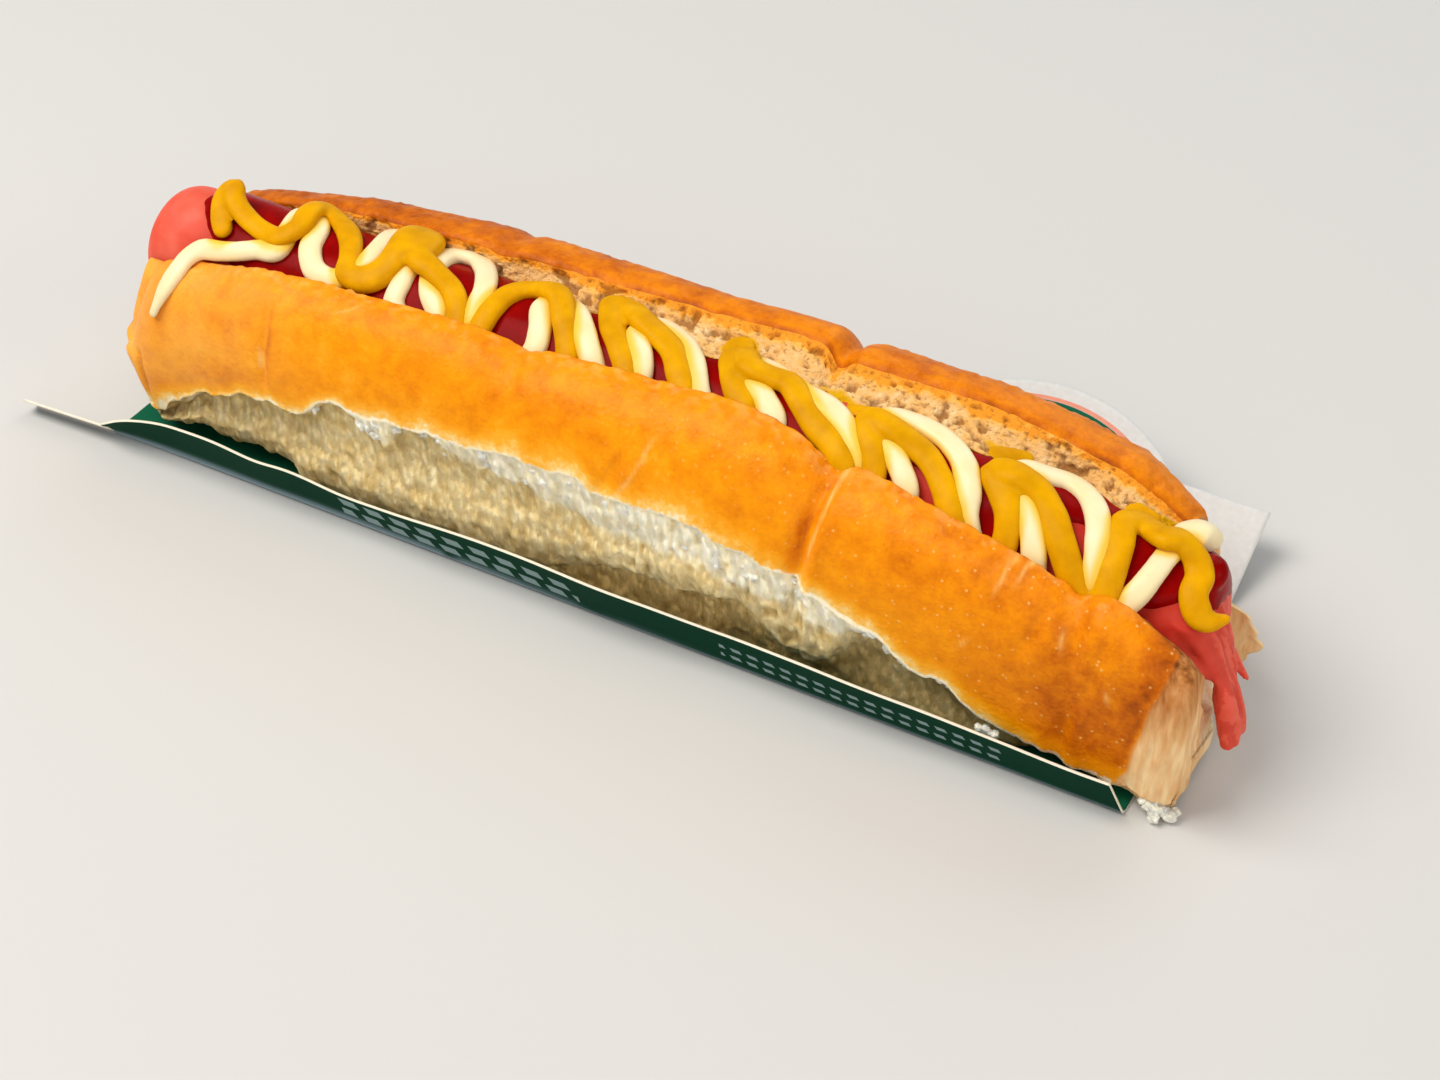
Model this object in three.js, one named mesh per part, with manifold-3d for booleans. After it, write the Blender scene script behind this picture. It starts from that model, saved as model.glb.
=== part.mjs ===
// Hot dog: a long frankfurter in a soft top-split roll, dressed with ketchup, mayonnaise and
// mustard, standing in its folded card tray. Millimetres, +X along the roll, +Z up. The origin is
// on the underside of the tray, midway between its two long folds and under the roll's middle.
// The roll's near side (-Y) is torn where it was pulled from the next roll of the batch.
import * as THREE from 'three';
import Module from 'manifold-3d';
import { mergeVertices } from 'three/addons/utils/BufferGeometryUtils.js';

const wasm = await Module();
wasm.setup();

// ---- Driving dimensions ----
const GAP = 0.35; // between neighbouring solids

const CARD = {
  thickness: 0.8,
  left: -119, right: 102, // ends of the base
  halfWidth: 29, // origin to either long fold
  lipHeight: 10.5, lipLean: 20, lipEndLean: 40, lipEndLength: 20, lipCorner: 9,
  panelWidth: 23, panelSlope: 24,
  tabRadius: 34, tabX: 53, tabInset: 2,
  tongueLength: 22, tongueWidth: 5, tongueLean: 45, tongueTurn: 1,
};

const ROLL = {
  left: -115, right: 109, floor: CARD.thickness + GAP,
  bellyHeight: 21, // where the side walls stand widest
  endLength: 9, endInset: 5, // rounding of the left end
  tornLength: 2.5, tornInset: 1.2, // ragged edge of the right end
  stations: 52,
};

const SAUSAGE = { radius: 12, left: -118.5, right: 106.8, dome: 7, sides: 20, rings: 30 };
const KETCHUP = { depth: 0.8, left: -111, halfAngle: 52, dropX: 104, dropAngle: 48, dropDepth: 3.2 };
const BEAD = { radius: 2.3, mayonnaiseLift: 1.3, mustardLift: 2, sides: 6, step: 3.8 };

// A smooth curve through [x, value] stations, level beyond the first and the last.
function through(stations) {
  const last = stations.length - 1;
  const slope = (k) => {
    const [xa, va] = stations[Math.max(k - 1, 0)];
    const [xb, vb] = stations[Math.min(k + 1, last)];
    return (vb - va) / (xb - xa);
  };
  return (x) => {
    if (x <= stations[0][0]) return stations[0][1];
    if (x >= stations[last][0]) return stations[last][1];
    const i = stations.findIndex((s) => s[0] > x) - 1;
    const [x0, v0] = stations[i];
    const [x1, v1] = stations[i + 1];
    const h = x1 - x0;
    const t = (x - x0) / h;
    const s = 1 - t;
    const ends = s * s * (1 + 2 * t) * v0 + t * t * (1 + 2 * s) * v1;
    return ends + t * s * h * (s * slope(i) - t * slope(i + 1));
  };
}

// Heights and half-widths of the roll along its length.
const nearRimY = through([
  [-115, -15], [-50, -15], [10, -13.2], [38, -14], [60, -16.5], [90, -19], [110, -22],
]);
const nearRimZ = through([
  [-115, 37.5], [-101, 39.3], [-89, 42], [-76, 43.8], [-53, 45.2], [-35, 45.6], [-22, 44.4], [-6, 44.8],
  [8, 46.4], [22, 46.6], [31, 44.5], [39, 41.6], [50, 42.8], [60, 41], [80, 37.5], [87, 35.5], [94, 38],
  [101, 36], [109, 31.8],
]);
const tornEdgeZ = through([
  [-115, 8], [-104, 12.5], [-87, 19.7], [-69, 25.5], [-57, 26], [-49, 29.5], [-20, 28.4], [0, 29.8],
  [15, 29], [30, 26], [48, 20.7], [58, 19], [68, 15.3], [78, 9.2], [88, 4.2], [109, 4.5],
]);
const crumbFootY = through([
  [-115, -21], [-80, -20], [-50, -21.5], [-30, -23.5], [60, -23.5], [85, -25], [109, -26],
]);
const nearBellyY = through([[-115, -26.5], [-90, -27.5], [-40, -28], [60, -28.5], [110, -28]]);
const farBellyY = through([
  [-115, 22], [-97, 23.5], [-80, 25.5], [-47, 27], [60, 26.5], [80, 25.3], [97, 21.5], [110, 17],
]);
const farTopZ = through([
  [-115, 38], [-97, 42], [-80, 45.3], [-60, 47.5], [-45, 48.2], [0, 47.4], [50, 47.4], [67, 46],
  [80, 43.5], [90, 41.5], [110, 36],
]);
const farRimY = through([
  [-115, 7], [-82, 7.5], [-55, 6], [-30, 7.5], [7, 10], [19, 11], [31, 8], [60, 8.5], [76, 7.5],
  [97, 7], [110, 6],
]);
const axisY = through([[-115, -2.5], [0, -3], [70, -3.5], [110, -4.5]]);
const axisZ = through([[-115, 32.5], [0, 33], [40, 32.4], [70, 30], [90, 27.5], [110, 23]]);

const { clamp, degToRad: rad, smoothstep } = THREE.MathUtils;
const bell = (x, centre, width) => Math.exp(-(((x - centre) / width) ** 2));

// ---- Solids ----
function signedVolume(positions, index) {
  const [a, b, c] = [new THREE.Vector3(), new THREE.Vector3(), new THREE.Vector3()];
  let sum = 0;
  for (let i = 0; i < index.length; i += 3) {
    a.fromArray(positions, index[i] * 3);
    b.fromArray(positions, index[i + 1] * 3);
    c.fromArray(positions, index[i + 2] * 3);
    sum += a.dot(b.cross(c));
  }
  return sum;
}

// A closed geometry as a solid, with shared vertices merged and its faces turned outward.
function solidOf(geometry) {
  geometry.deleteAttribute('normal');
  geometry.deleteAttribute('uv');
  const merged = mergeVertices(geometry, 1e-4);
  const positions = merged.attributes.position.array;
  const index = merged.index.array;
  if (signedVolume(positions, index) < 0) {
    for (let i = 0; i < index.length; i += 3) [index[i + 1], index[i + 2]] = [index[i + 2], index[i + 1]];
  }
  const mesh = new wasm.Mesh({
    numProp: 3, vertProperties: Float32Array.from(positions), triVerts: Uint32Array.from(index),
  });
  return new wasm.Manifold(mesh);
}

// The largest body of a solid, as a geometry; loose scraps are dropped.
function geometryOf(solid) {
  const bodies = solid.decompose().sort((a, b) => b.volume() - a.volume());
  const mesh = bodies[0].getMesh();
  const geometry = new THREE.BufferGeometry();
  geometry.setAttribute('position', new THREE.BufferAttribute(Float32Array.from(mesh.vertProperties), 3));
  geometry.setIndex(Array.from(mesh.triVerts));
  return geometry;
}

const acrossX = (p) => new THREE.Vector2(p.y, p.z);
const acrossZ = (p) => new THREE.Vector2(p.x, p.y);

// A closed skin over rings of equal length. Its end caps are filled in from the flat outlines of
// the first and the last ring, seen along the axis that the rings are strung on.
function loft(rings, outlines = rings.map((ring) => ring.map(acrossX))) {
  const size = rings[0].length;
  const positions = rings.flat().flatMap((p) => [p.x, p.y, p.z]);
  const index = [];
  for (let r = 0; r + 1 < rings.length; r += 1) {
    for (let k = 0; k < size; k += 1) {
      const [a, b] = [r * size + k, r * size + ((k + 1) % size)];
      index.push(a, b, b + size, a, b + size, a + size);
    }
  }
  const cap = (outline, first, flipped) => {
    const clockwise = THREE.ShapeUtils.area(outline) < 0;
    for (const [i, j, k] of THREE.ShapeUtils.triangulateShape(outline, [])) {
      if (clockwise === flipped) index.push(first + i, first + j, first + k);
      else index.push(first + k, first + j, first + i);
    }
  };
  cap(outlines[0], 0, true);
  cap(outlines.at(-1), (rings.length - 1) * size, false);
  const geometry = new THREE.BufferGeometry();
  geometry.setAttribute('position', new THREE.Float32BufferAttribute(positions, 3));
  geometry.setIndex(index);
  return geometry;
}

// ---- Roll ----
// Vertical creases pressed into the crust: x at the top, lean, half-width and depth.
const NEAR_CREASES = [
  { x: 37, lean: 0.25, width: 1.8, depth: 1.3 },
  { x: -69, lean: 0.1, width: 4, depth: 0.5 },
  { x: 88.5, lean: 0, width: 2, depth: 0.8 },
];
const FAR_CREASES = [{ x: 30, width: 2.6, depth: 2.6 }, { x: -38, width: 2.5, depth: 0.8 }];

function nearCrease(x, z) {
  const below = nearRimZ(x) - z;
  return NEAR_CREASES.reduce((sum, c) => sum + c.depth * bell(x + below * c.lean, c.x, c.width), 0);
}

const farCrease = (x) => FAR_CREASES.reduce((sum, c) => sum + c.depth * bell(x, c.x, c.width), 0);

// How far the skin draws in towards either end: a quarter round at the left, a torn edge at the right.
function endInset(x) {
  const left = Math.max(1 - (x - ROLL.left) / ROLL.endLength, 0);
  const right = Math.max(1 - (ROLL.right - x) / ROLL.tornLength, 0);
  return ROLL.endInset * (1 - Math.sqrt(1 - left ** 2)) + ROLL.tornInset * right;
}

// One cross-section of the roll, anticlockwise seen from +X, starting at the near rim.
function rollSection(x) {
  const inset = endInset(x);
  const points = [];
  const put = (y, z) => points.push(new THREE.Vector2(y, z));
  const belly = nearBellyY(x) + inset;
  const rim = { y: nearRimY(x), z: nearRimZ(x) - inset * 0.25 };
  const torn = Math.max(tornEdgeZ(x), ROLL.floor + 1.5 + inset * 0.3);
  const floor = ROLL.floor + inset * 0.25;

  // Near crust, from the rim over the shoulder and down to the torn edge.
  const crustSteps = 9;
  for (let k = 0; k <= crustSteps; k += 1) {
    const z = rim.z - (rim.z - torn) * (1 - Math.cos((k / crustSteps) * Math.PI / 2));
    const rise = Math.max((z - ROLL.bellyHeight) / (rim.z - ROLL.bellyHeight), 0);
    const drop = Math.max((ROLL.bellyHeight - z) / ROLL.bellyHeight, 0);
    const out = (1 - rise ** 2.4) ** (1 / 2.4);
    const dent = nearCrease(x, z) * Math.min(out * 2, 1);
    put(rim.y + (belly - rim.y) * out * (1 - 0.09 * drop ** 2) + dent, z);
  }
  // Torn crumb: undercut below the crust, then down to the floor.
  const fall = torn - floor;
  const recess = Math.min(4.5, fall * 0.4) + 0.6 * Math.sin(x * 0.21) + 0.4 * Math.sin(x * 0.53);
  const foot = crumbFootY(x) + inset;
  put(belly + recess * 0.7, torn - 0.8);
  put(belly + recess, torn - fall * 0.25);
  put((belly + recess + foot) / 2 + 0.3, torn - fall * 0.6);
  put(foot, floor + fall * 0.08);
  put(foot + 0.8, floor);
  put(0, floor + 0.1);

  // Far wall: round bottom corner, upright side, rounded top.
  const farBelly = farBellyY(x) - inset - 0.6 * farCrease(x);
  const top = farTopZ(x) - inset * 0.3 - farCrease(x);
  const farRim = { y: farRimY(x), z: top - 1 };
  const corner = 7;
  for (let k = 0; k <= 3; k += 1) {
    const angle = (k / 3) * Math.PI / 2;
    put(farBelly - 1.5 - corner * (1 - Math.sin(angle)), floor + corner * (1 - Math.cos(angle)));
  }
  const crown = farRim.y + 2.5;
  const shoulderSteps = 8;
  for (let k = 0; k <= shoulderSteps; k += 1) {
    const angle = (k / shoulderSteps) * Math.PI / 2;
    const y = crown + (farBelly - crown) * Math.cos(angle) ** 0.9;
    put(y, ROLL.bellyHeight + (top - ROLL.bellyHeight) * Math.sin(angle) ** 0.9);
  }
  put(farRim.y, farRim.z);

  // Cut face, the bed that holds the sausage, and the near wall's inner side.
  const axis = { y: axisY(x), z: axisZ(x) };
  const bed = SAUSAGE.radius + 0.4 + GAP;
  const bedAngle = (z) => Math.acos(clamp((z - axis.z) / bed, -0.5, 0.45));
  const [from, to] = [bedAngle(farRim.z - 6), 2 * Math.PI - bedAngle(rim.z - 6)];
  const onBed = (t) => {
    const angle = from + (to - from) * t;
    return [axis.y + bed * Math.sin(angle), axis.z + bed * Math.cos(angle)];
  };
  const [cutY, cutZ] = onBed(0);
  for (const t of [0.3, 0.65]) {
    const hollow = 0.8 * Math.sin(t * Math.PI);
    put(farRim.y + (cutY - farRim.y) * t + hollow, farRim.z + (cutZ - farRim.z) * t);
  }
  const bedSteps = 11;
  for (let k = 0; k <= bedSteps; k += 1) put(...onBed(k / bedSteps));
  put((rim.y + onBed(1)[0]) / 2 + 0.3, (onBed(1)[1] + rim.z) / 2);
  return points;
}

// The ends aren't square. The left end bulges at mid-height; at the torn right end the far wall stops
// short, except for a low flake of crust.
function leanOfEnds(x, y, z) {
  const left = Math.max(0, 1 - (x - ROLL.left) / 14);
  const right = Math.max(0, 1 - (ROLL.right - x) / 26);
  const farUp = smoothstep(y, -2, 7) * smoothstep(z, 14, 32);
  const nearUp = smoothstep(-y, 12, 20) * smoothstep(z, 26, 38);
  const flake = right ** 3 * smoothstep(y, 2, 8) * bell(z, 16, 5);
  const ragged = right ** 6 * Math.sin(y * 0.9) * Math.sin(z * 0.6);
  const bulge = left * (3 - 5 * bell(z, 18, 16));
  return bulge - right * (12 * farUp + 2.5 * nearUp) + 2.5 * flake + 0.7 * ragged;
}

function grownOutline(points, distance) {
  return points.map((p, i) => {
    const before = points.at(i - 1);
    const after = points[(i + 1) % points.length];
    const along = after.clone().sub(before).normalize();
    return new THREE.Vector2(p.x + along.y * distance, p.y - along.x * distance);
  });
}

// The roll's skin; grown by a distance, it is what trims the sauces clear of the roll.
function rollSkin(grown) {
  const stations = Array.from({ length: ROLL.stations + 1 }, (_, s) => s / ROLL.stations);
  const sections = stations.map((t) => rollSection(ROLL.left + (ROLL.right - ROLL.left) * t));
  const rings = stations.map((t, s) => {
    const x = ROLL.left + (ROLL.right - ROLL.left) * t;
    const away = (2 * t - 1) ** 9 * grown;
    return grownOutline(sections[s], grown).map((p, i) => {
      const lean = leanOfEnds(x, sections[s][i].x, sections[s][i].y);
      return new THREE.Vector3(x + away + lean, p.x, p.y);
    });
  });
  return loft(rings, sections);
}

function crumbTuft() {
  const tuft = new THREE.IcosahedronGeometry(3, 1);
  tuft.scale(1.3, 0.8, 0.75);
  tuft.translate(105.5, -25.5, ROLL.floor + 2.3);
  return tuft;
}

// ---- Sausage and sauces ----
// Radius of the dressed sausage at a place along it and an angle from straight up.
function dressedRadius(x, degrees) {
  const spread = Math.max(0, 1 - (Math.abs(degrees - 2) / KETCHUP.halfAngle) ** 4);
  const film = KETCHUP.depth * spread * smoothstep(x, KETCHUP.left - 3, KETCHUP.left + 3);
  const drop = KETCHUP.dropDepth * bell(x, KETCHUP.dropX, 4.5) * bell(degrees, KETCHUP.dropAngle, 22);
  return SAUSAGE.radius + film + drop;
}

function aroundAxis(x, radius, angle) {
  return new THREE.Vector3(x, axisY(x) + radius * Math.sin(angle), axisZ(x) + radius * Math.cos(angle));
}

function sausageSkin() {
  const { left, right, dome, rings, sides } = SAUSAGE;
  const xs = Array.from({ length: rings + 1 }, (_, s) => left + (right - left) * (s / rings));
  for (const t of [0.04, 0.15, 0.35]) xs.push(left + dome * t, right - dome * t);
  xs.sort((a, b) => a - b);
  return loft(xs.map((x) => {
    const toEnd = Math.min((Math.min(x - left, right - x) + 0.1) / dome, 1);
    const shrink = (1 - (1 - toEnd) ** 3) ** (1 / 3);
    return Array.from({ length: sides }, (_, k) => {
      const degrees = 180 - (k / sides) * 360;
      return aroundAxis(x, dressedRadius(x, degrees) * shrink, rad(degrees));
    });
  }));
}

// Zigzags of sauce: [x along the sausage, degrees from straight up, positive to the far side].
const MAYONNAISE = [
  [-98, -46], [-87, -34], [-88, 30], [-81, 12], [-73.5, -50], [-66, -20], [-67, 38], [-58, 4], [-52, -54],
  [-49, 10], [-50, 40], [-42, -10], [-31.5, -54], [-28, 8], [-22, 6], [-9, -56], [-8, 24], [0, 4],
  [16, -52], [16, 12], [22, 8], [45, -58], [42.5, 2], [50, -10], [69, -66], [68, 10], [75, 26],
  [90, -66], [95, -8], [101, 30],
];
const MUSTARD = [
  [-97, -38], [-104, 12], [-100, 36], [-87, -26], [-88, 40], [-80, 14], [-69, -40], [-67, 42], [-58, 4],
  [-42, -52], [-33, 20], [-26, 16], [-14, -54], [-20, 36], [-8, 12], [11, -52], [6, 36], [20, 8],
  [41, -54], [36, 8], [45, -6], [65, -62], [64, 0], [72, -8], [87, -66], [88, 0], [95, 2],
  [103, -22], [107, -44], [110, -26],
];

// A round bead of sauce along its turns, standing proud of the sausage by its lift.
function bead(turns, lift) {
  const places = turns.map(([x, degrees]) => aroundAxis(x, SAUSAGE.radius + lift, rad(degrees)));
  const path = new THREE.CatmullRomCurve3(places, false, 'centripetal');
  const outline = new THREE.Shape();
  for (let k = 0; k <= BEAD.sides; k += 1) {
    const angle = (k / BEAD.sides) * Math.PI * 2;
    const [u, v] = [BEAD.radius * Math.cos(angle), BEAD.radius * Math.sin(angle)];
    if (k === 0) outline.moveTo(u, v);
    else outline.lineTo(u, v);
  }
  const steps = Math.round(path.getLength() / BEAD.step);
  return new THREE.ExtrudeGeometry(outline, { steps, extrudePath: path, bevelEnabled: false });
}

// Torn skin that hangs down: six-sided rings about points, with a half-width across and along X.
function tornSkin(points, widths) {
  const rings = points.map(([x, y, z], i) => {
    const [across, along] = widths[i];
    return Array.from({ length: 6 }, (_, k) => {
      const angle = (k / 6) * Math.PI * 2;
      return new THREE.Vector3(x + along * Math.cos(angle), y + across * Math.sin(angle), z);
    });
  });
  return loft(rings, rings.map((ring) => ring.map(acrossZ)));
}

function dressedSausage() {
  const strip = tornSkin(
    [[105.5, -8, 27], [109.8, -9, 22], [112, -10, 17], [113, -11, 10]],
    [[6.5, 3], [5, 2], [3.8, 1.4], [2.8, 1.2]],
  );
  const spur = tornSkin(
    [[106.5, -3, 22], [110.5, -2, 17.5], [113, -1.7, 15.5]],
    [[3, 2.5], [1.6, 1.4], [0.4, 0.4]],
  );
  return solidOf(sausageSkin())
    .add(solidOf(bead(MAYONNAISE, BEAD.mayonnaiseLift)))
    .add(solidOf(bead(MUSTARD, BEAD.mustardLift)))
    .add(solidOf(strip))
    .add(solidOf(spur))
    .subtract(solidOf(rollSkin(GAP)));
}

// ---- Card tray ----
// A thin sheet between a lower and an upper edge line, given as pairs of points along it.
function sheet(edges, thickness) {
  const rings = edges.map(([low, high]) => {
    const across = high.clone().sub(low).normalize();
    const back = new THREE.Vector3(0, across.z, -across.y).multiplyScalar(thickness);
    return [low, high, high.clone().add(back), low.clone().add(back)];
  });
  return loft(rings);
}

function nearLip() {
  const edges = [];
  for (let s = 0; s <= 24; s += 1) {
    const t = s / 24;
    const fromEnd = (CARD.right - CARD.left) * t;
    const bend = Math.max(0, 1 - fromEnd / CARD.lipEndLength);
    const lean = rad(CARD.lipLean + (CARD.lipEndLean - CARD.lipLean) * bend ** 2);
    const rounding = Math.max(0, 1 - fromEnd / CARD.lipCorner);
    const height = CARD.lipHeight * (1 - 0.45 * rounding ** 2);
    const x = CARD.left + fromEnd;
    const slant = 2.5 * t ** 12;
    edges.push([
      new THREE.Vector3(x, -CARD.halfWidth, 0),
      new THREE.Vector3(x - slant, -CARD.halfWidth - height * Math.sin(lean), height * Math.cos(lean)),
    ]);
  }
  return sheet(edges, CARD.thickness);
}

function tongue() {
  const lean = rad(CARD.tongueLean);
  const edge = (x, y, width) => [
    new THREE.Vector3(x, y, 0.6),
    new THREE.Vector3(x, y - width * Math.sin(lean), 0.6 + width * Math.cos(lean)),
  ];
  const root = CARD.left + 1.5;
  return sheet([
    edge(root - CARD.tongueLength, -CARD.halfWidth - CARD.tongueTurn, CARD.tongueWidth * 0.8),
    edge(root, -CARD.halfWidth + 0.2, CARD.tongueWidth),
  ], CARD.thickness);
}

function base() {
  const plate = new THREE.BoxGeometry(CARD.right - CARD.left, 2 * CARD.halfWidth, CARD.thickness);
  plate.translate((CARD.right + CARD.left) / 2, 0, CARD.thickness / 2);
  return plate;
}

// The far panel slopes up from its fold, with a round tab cut beyond its edge.
function farPanel() {
  const outline = new THREE.Shape();
  const reach = Math.sqrt(CARD.tabRadius ** 2 - (CARD.panelWidth - CARD.tabInset) ** 2);
  const tabAngle = Math.atan2(CARD.panelWidth - CARD.tabInset, reach);
  outline.moveTo(CARD.left + 3, 0);
  outline.lineTo(CARD.right - 2.5, 0);
  outline.lineTo(CARD.right - 2.5, CARD.panelWidth);
  outline.absarc(CARD.tabX, CARD.tabInset, CARD.tabRadius, tabAngle, Math.PI - tabAngle, false);
  outline.lineTo(CARD.left + 3, CARD.panelWidth);
  outline.closePath();
  const flat = { depth: CARD.thickness, bevelEnabled: false, curveSegments: 18 };
  const panel = new THREE.ExtrudeGeometry(outline, flat);
  panel.rotateX(rad(CARD.panelSlope));
  panel.translate(0, CARD.halfWidth, 0);
  return panel;
}

function cardTray() {
  return solidOf(base()).add(solidOf(nearLip())).add(solidOf(farPanel())).add(solidOf(tongue()));
}

// ---- Assembly ----
function piece(name, solid, colour, roughness) {
  const material = new THREE.MeshStandardMaterial({ color: colour, roughness, metalness: 0 });
  const mesh = new THREE.Mesh(geometryOf(solidOf(geometryOf(solid))), material);
  mesh.name = name;
  return mesh;
}

const hotDog = new THREE.Group();
hotDog.add(piece('card_tray', cardTray(), 0x0b4a36, 0.5));
hotDog.add(piece('roll', solidOf(rollSkin(0)).add(solidOf(crumbTuft())), 0xd98a2b, 0.6));
hotDog.add(piece('sausage', dressedSausage(), 0xd2504a, 0.35));

export default hotDog;
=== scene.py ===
"""A hot dog: a long frankfurter in a soft top-split roll, dressed with ketchup, mayonnaise and mustard,
standing in its folded card tray.

Shapes are worked out in millimetres along the frame's own axes (+X along the roll, +Z up), and turn
into metres as each mesh is made. Angles round the sausage are degrees from straight up, positive
towards the far side (+Y).
"""
import itertools
import math

import bpy
import numpy as np
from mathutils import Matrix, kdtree


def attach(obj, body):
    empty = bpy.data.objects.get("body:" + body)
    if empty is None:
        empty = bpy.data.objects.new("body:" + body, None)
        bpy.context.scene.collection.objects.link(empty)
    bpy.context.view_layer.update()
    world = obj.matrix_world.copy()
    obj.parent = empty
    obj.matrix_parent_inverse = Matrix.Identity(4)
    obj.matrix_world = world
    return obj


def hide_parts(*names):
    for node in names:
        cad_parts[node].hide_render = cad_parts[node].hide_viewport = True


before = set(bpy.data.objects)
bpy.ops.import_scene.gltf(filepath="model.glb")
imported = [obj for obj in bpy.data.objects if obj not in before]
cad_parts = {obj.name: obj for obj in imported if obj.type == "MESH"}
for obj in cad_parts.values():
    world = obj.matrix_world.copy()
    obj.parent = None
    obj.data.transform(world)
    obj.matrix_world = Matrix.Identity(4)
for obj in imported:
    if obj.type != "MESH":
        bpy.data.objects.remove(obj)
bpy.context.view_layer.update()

MM = 0.001
CARD_THICKNESS, CARD_HALF_WIDTH = 0.55, 29.0
CARD_LEFT, CARD_RIGHT = -119.0, 102.0
CARD_TAB_X, CARD_TAB_INSET, CARD_TAB_RADIUS = 53.0, 2.0, 34.0
DISC_RADIUS = CARD_TAB_RADIUS - 4.2
# Plain dashes on the near lip: first and last x, spacing, half-length and the height of each row.
PALE_DASHES = ((-60, -6, 6.0, 1.9, (4.0, 7.2)), (24, 80, 3.4, 1.0, (3.6, 6.2)))
FLOOR = 1.15  # underside of the roll
LEFT, RIGHT = -115.0, 109.0  # the roll's ends
BELLY_HEIGHT = 21.0  # where the roll is widest
SAUSAGE_RADIUS, SAUSAGE_LEFT, SAUSAGE_RIGHT, SAUSAGE_DOME = 12.0, -119.4, 106.8, 7.0
KETCHUP_DEPTH = 0.9
MM_A_DEGREE = 0.21  # along the casing


# ---- Curves and noise ----
def through(*stations):
    """A smooth curve through (x, value) stations, level beyond the ends."""
    xs, values = np.array(stations, float).T
    slopes = np.gradient(values)
    slopes[1:-1] = (values[2:] - values[:-2]) / (xs[2:] - xs[:-2])
    slopes[0] = (values[1] - values[0]) / (xs[1] - xs[0])
    slopes[-1] = (values[-1] - values[-2]) / (xs[-1] - xs[-2])

    def at(x):
        x = np.clip(np.asarray(x, float), xs[0], xs[-1])
        i = np.clip(np.searchsorted(xs, x, side="right") - 1, 0, len(xs) - 2)
        h = xs[i + 1] - xs[i]
        t = (x - xs[i]) / h
        s = 1 - t
        ends = s * s * (1 + 2 * t) * values[i] + t * t * (1 + 2 * s) * values[i + 1]
        return ends + t * s * h * (s * slopes[i] - t * slopes[i + 1])

    return at


def bell(x, centre, width):
    return np.exp(-(((x - centre) / width) ** 2))


def smoothstep(x, low, high):
    t = np.clip((x - low) / (high - low), 0, 1)
    return t * t * (3 - 2 * t)


def xyz(x, y, z):
    return np.stack(np.broadcast_arrays(x, y, z), axis=-1)


def lumps(points, size, seed=0):
    """Smooth noise from -1 to 1 at points [..., 3], with lumps about `size` across."""
    cell = np.asarray(points, float) / size
    base = np.floor(cell).astype(np.int64)
    part = cell - base
    part = part * part * (3 - 2 * part)
    total = np.zeros(cell.shape[:-1])
    for corner in itertools.product((0, 1), repeat=3):
        c = base + np.array(corner)
        h = (c[..., 0] * 73856093) ^ (c[..., 1] * 19349663) ^ (c[..., 2] * 83492791) ^ (seed * 2654435761)
        h = ((h ^ (h >> 13)) * 1274126177) & 0xFFFFFFFF
        value = ((h ^ (h >> 16)) & 0xFFFF) / 32767.5 - 1
        total += value * np.prod(np.where(corner, part, 1 - part), axis=-1)
    return total


def rough(points, size, octaves=3, seed=0):
    """Noise in several octaves, each half the size and height of the one before."""
    return sum(lumps(points, size / 2 ** n, seed + n) / 2 ** n for n in range(octaves))


def along_x(x, size, octaves=2, seed=0):
    """Noise along a line that runs parallel to X."""
    return rough(xyz(x, 0.37, 0.71), size, octaves, seed)


# ---- The roll's and the sausage's curves ----
near_rim_y = through((-115, -15), (-50, -15), (10, -13.2), (38, -14), (60, -16.5), (90, -19), (110, -22))
near_rim_z = through(
    (-115, 37.5), (-101, 39.3), (-89, 42), (-76, 43.9), (-66, 44.8), (-55, 45.2), (-35, 45.6), (-28, 44.5),
    (-25, 43.8), (-21, 45.2), (-9, 46), (9, 46.8), (19, 47.2), (27, 45.9), (31, 44.9), (37, 42), (39, 41.8),
    (44, 43.2), (50, 42.8), (64, 40.7), (78, 38.2), (83, 36.8), (86, 35.4), (89, 36.2), (93, 37.9),
    (98, 36.8), (102, 35), (109, 31.4))
# Degrees round the sausage where the far wall's crumb meets it.
crumb_foot = through(
    (-115, 60), (-95, 50), (-60, 42), (-40, 38), (-30, 26), (-21, 14), (-14, 30), (-7, 26), (0, 12), (6, 4),
    (12, 18), (22, 16), (28, 2), (36, -8), (43, 14), (50, 20), (60, 8), (68, 30), (78, 38), (84, 16),
    (92, 20), (100, 35), (109, 60))
torn_edge_z = through(
    (-115, 7), (-107, 8.1), (-104, 12.4), (-93, 18.3), (-83, 21.4), (-77, 22.4), (-73, 21.2), (-70, 21.6),
    (-65.5, 25.6), (-62.4, 27.6), (-58.7, 26.4), (-48, 27.8), (-37.5, 27.9), (-26.5, 29.3), (-13, 30.1),
    (-7.5, 30.6), (-4.4, 28.6), (3, 29.2), (10, 28.9), (16, 28.7), (21, 28), (28, 26.9), (38, 24.7),
    (45.6, 22), (53.5, 19.2), (59.4, 15.8), (66, 14), (74, 9.5), (81, 7.4), (91, 5.4), (109, 4.5))
overhang_z = through(
    (-115, 4.5), (-103, 5.4), (-97, 7.6), (-91, 5.8), (-79, 6.4), (-74, 5), (-69, 2), (-30, 2.4), (-20, 4.4),
    (-12, 8), (-8, 9.4), (2, 12), (14, 13.5), (23, 14.3), (30, 12.8), (36, 8), (41, 7.4), (45, 9.5),
    (49, 13), (54, 16), (80, 8), (95, 4))
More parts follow.
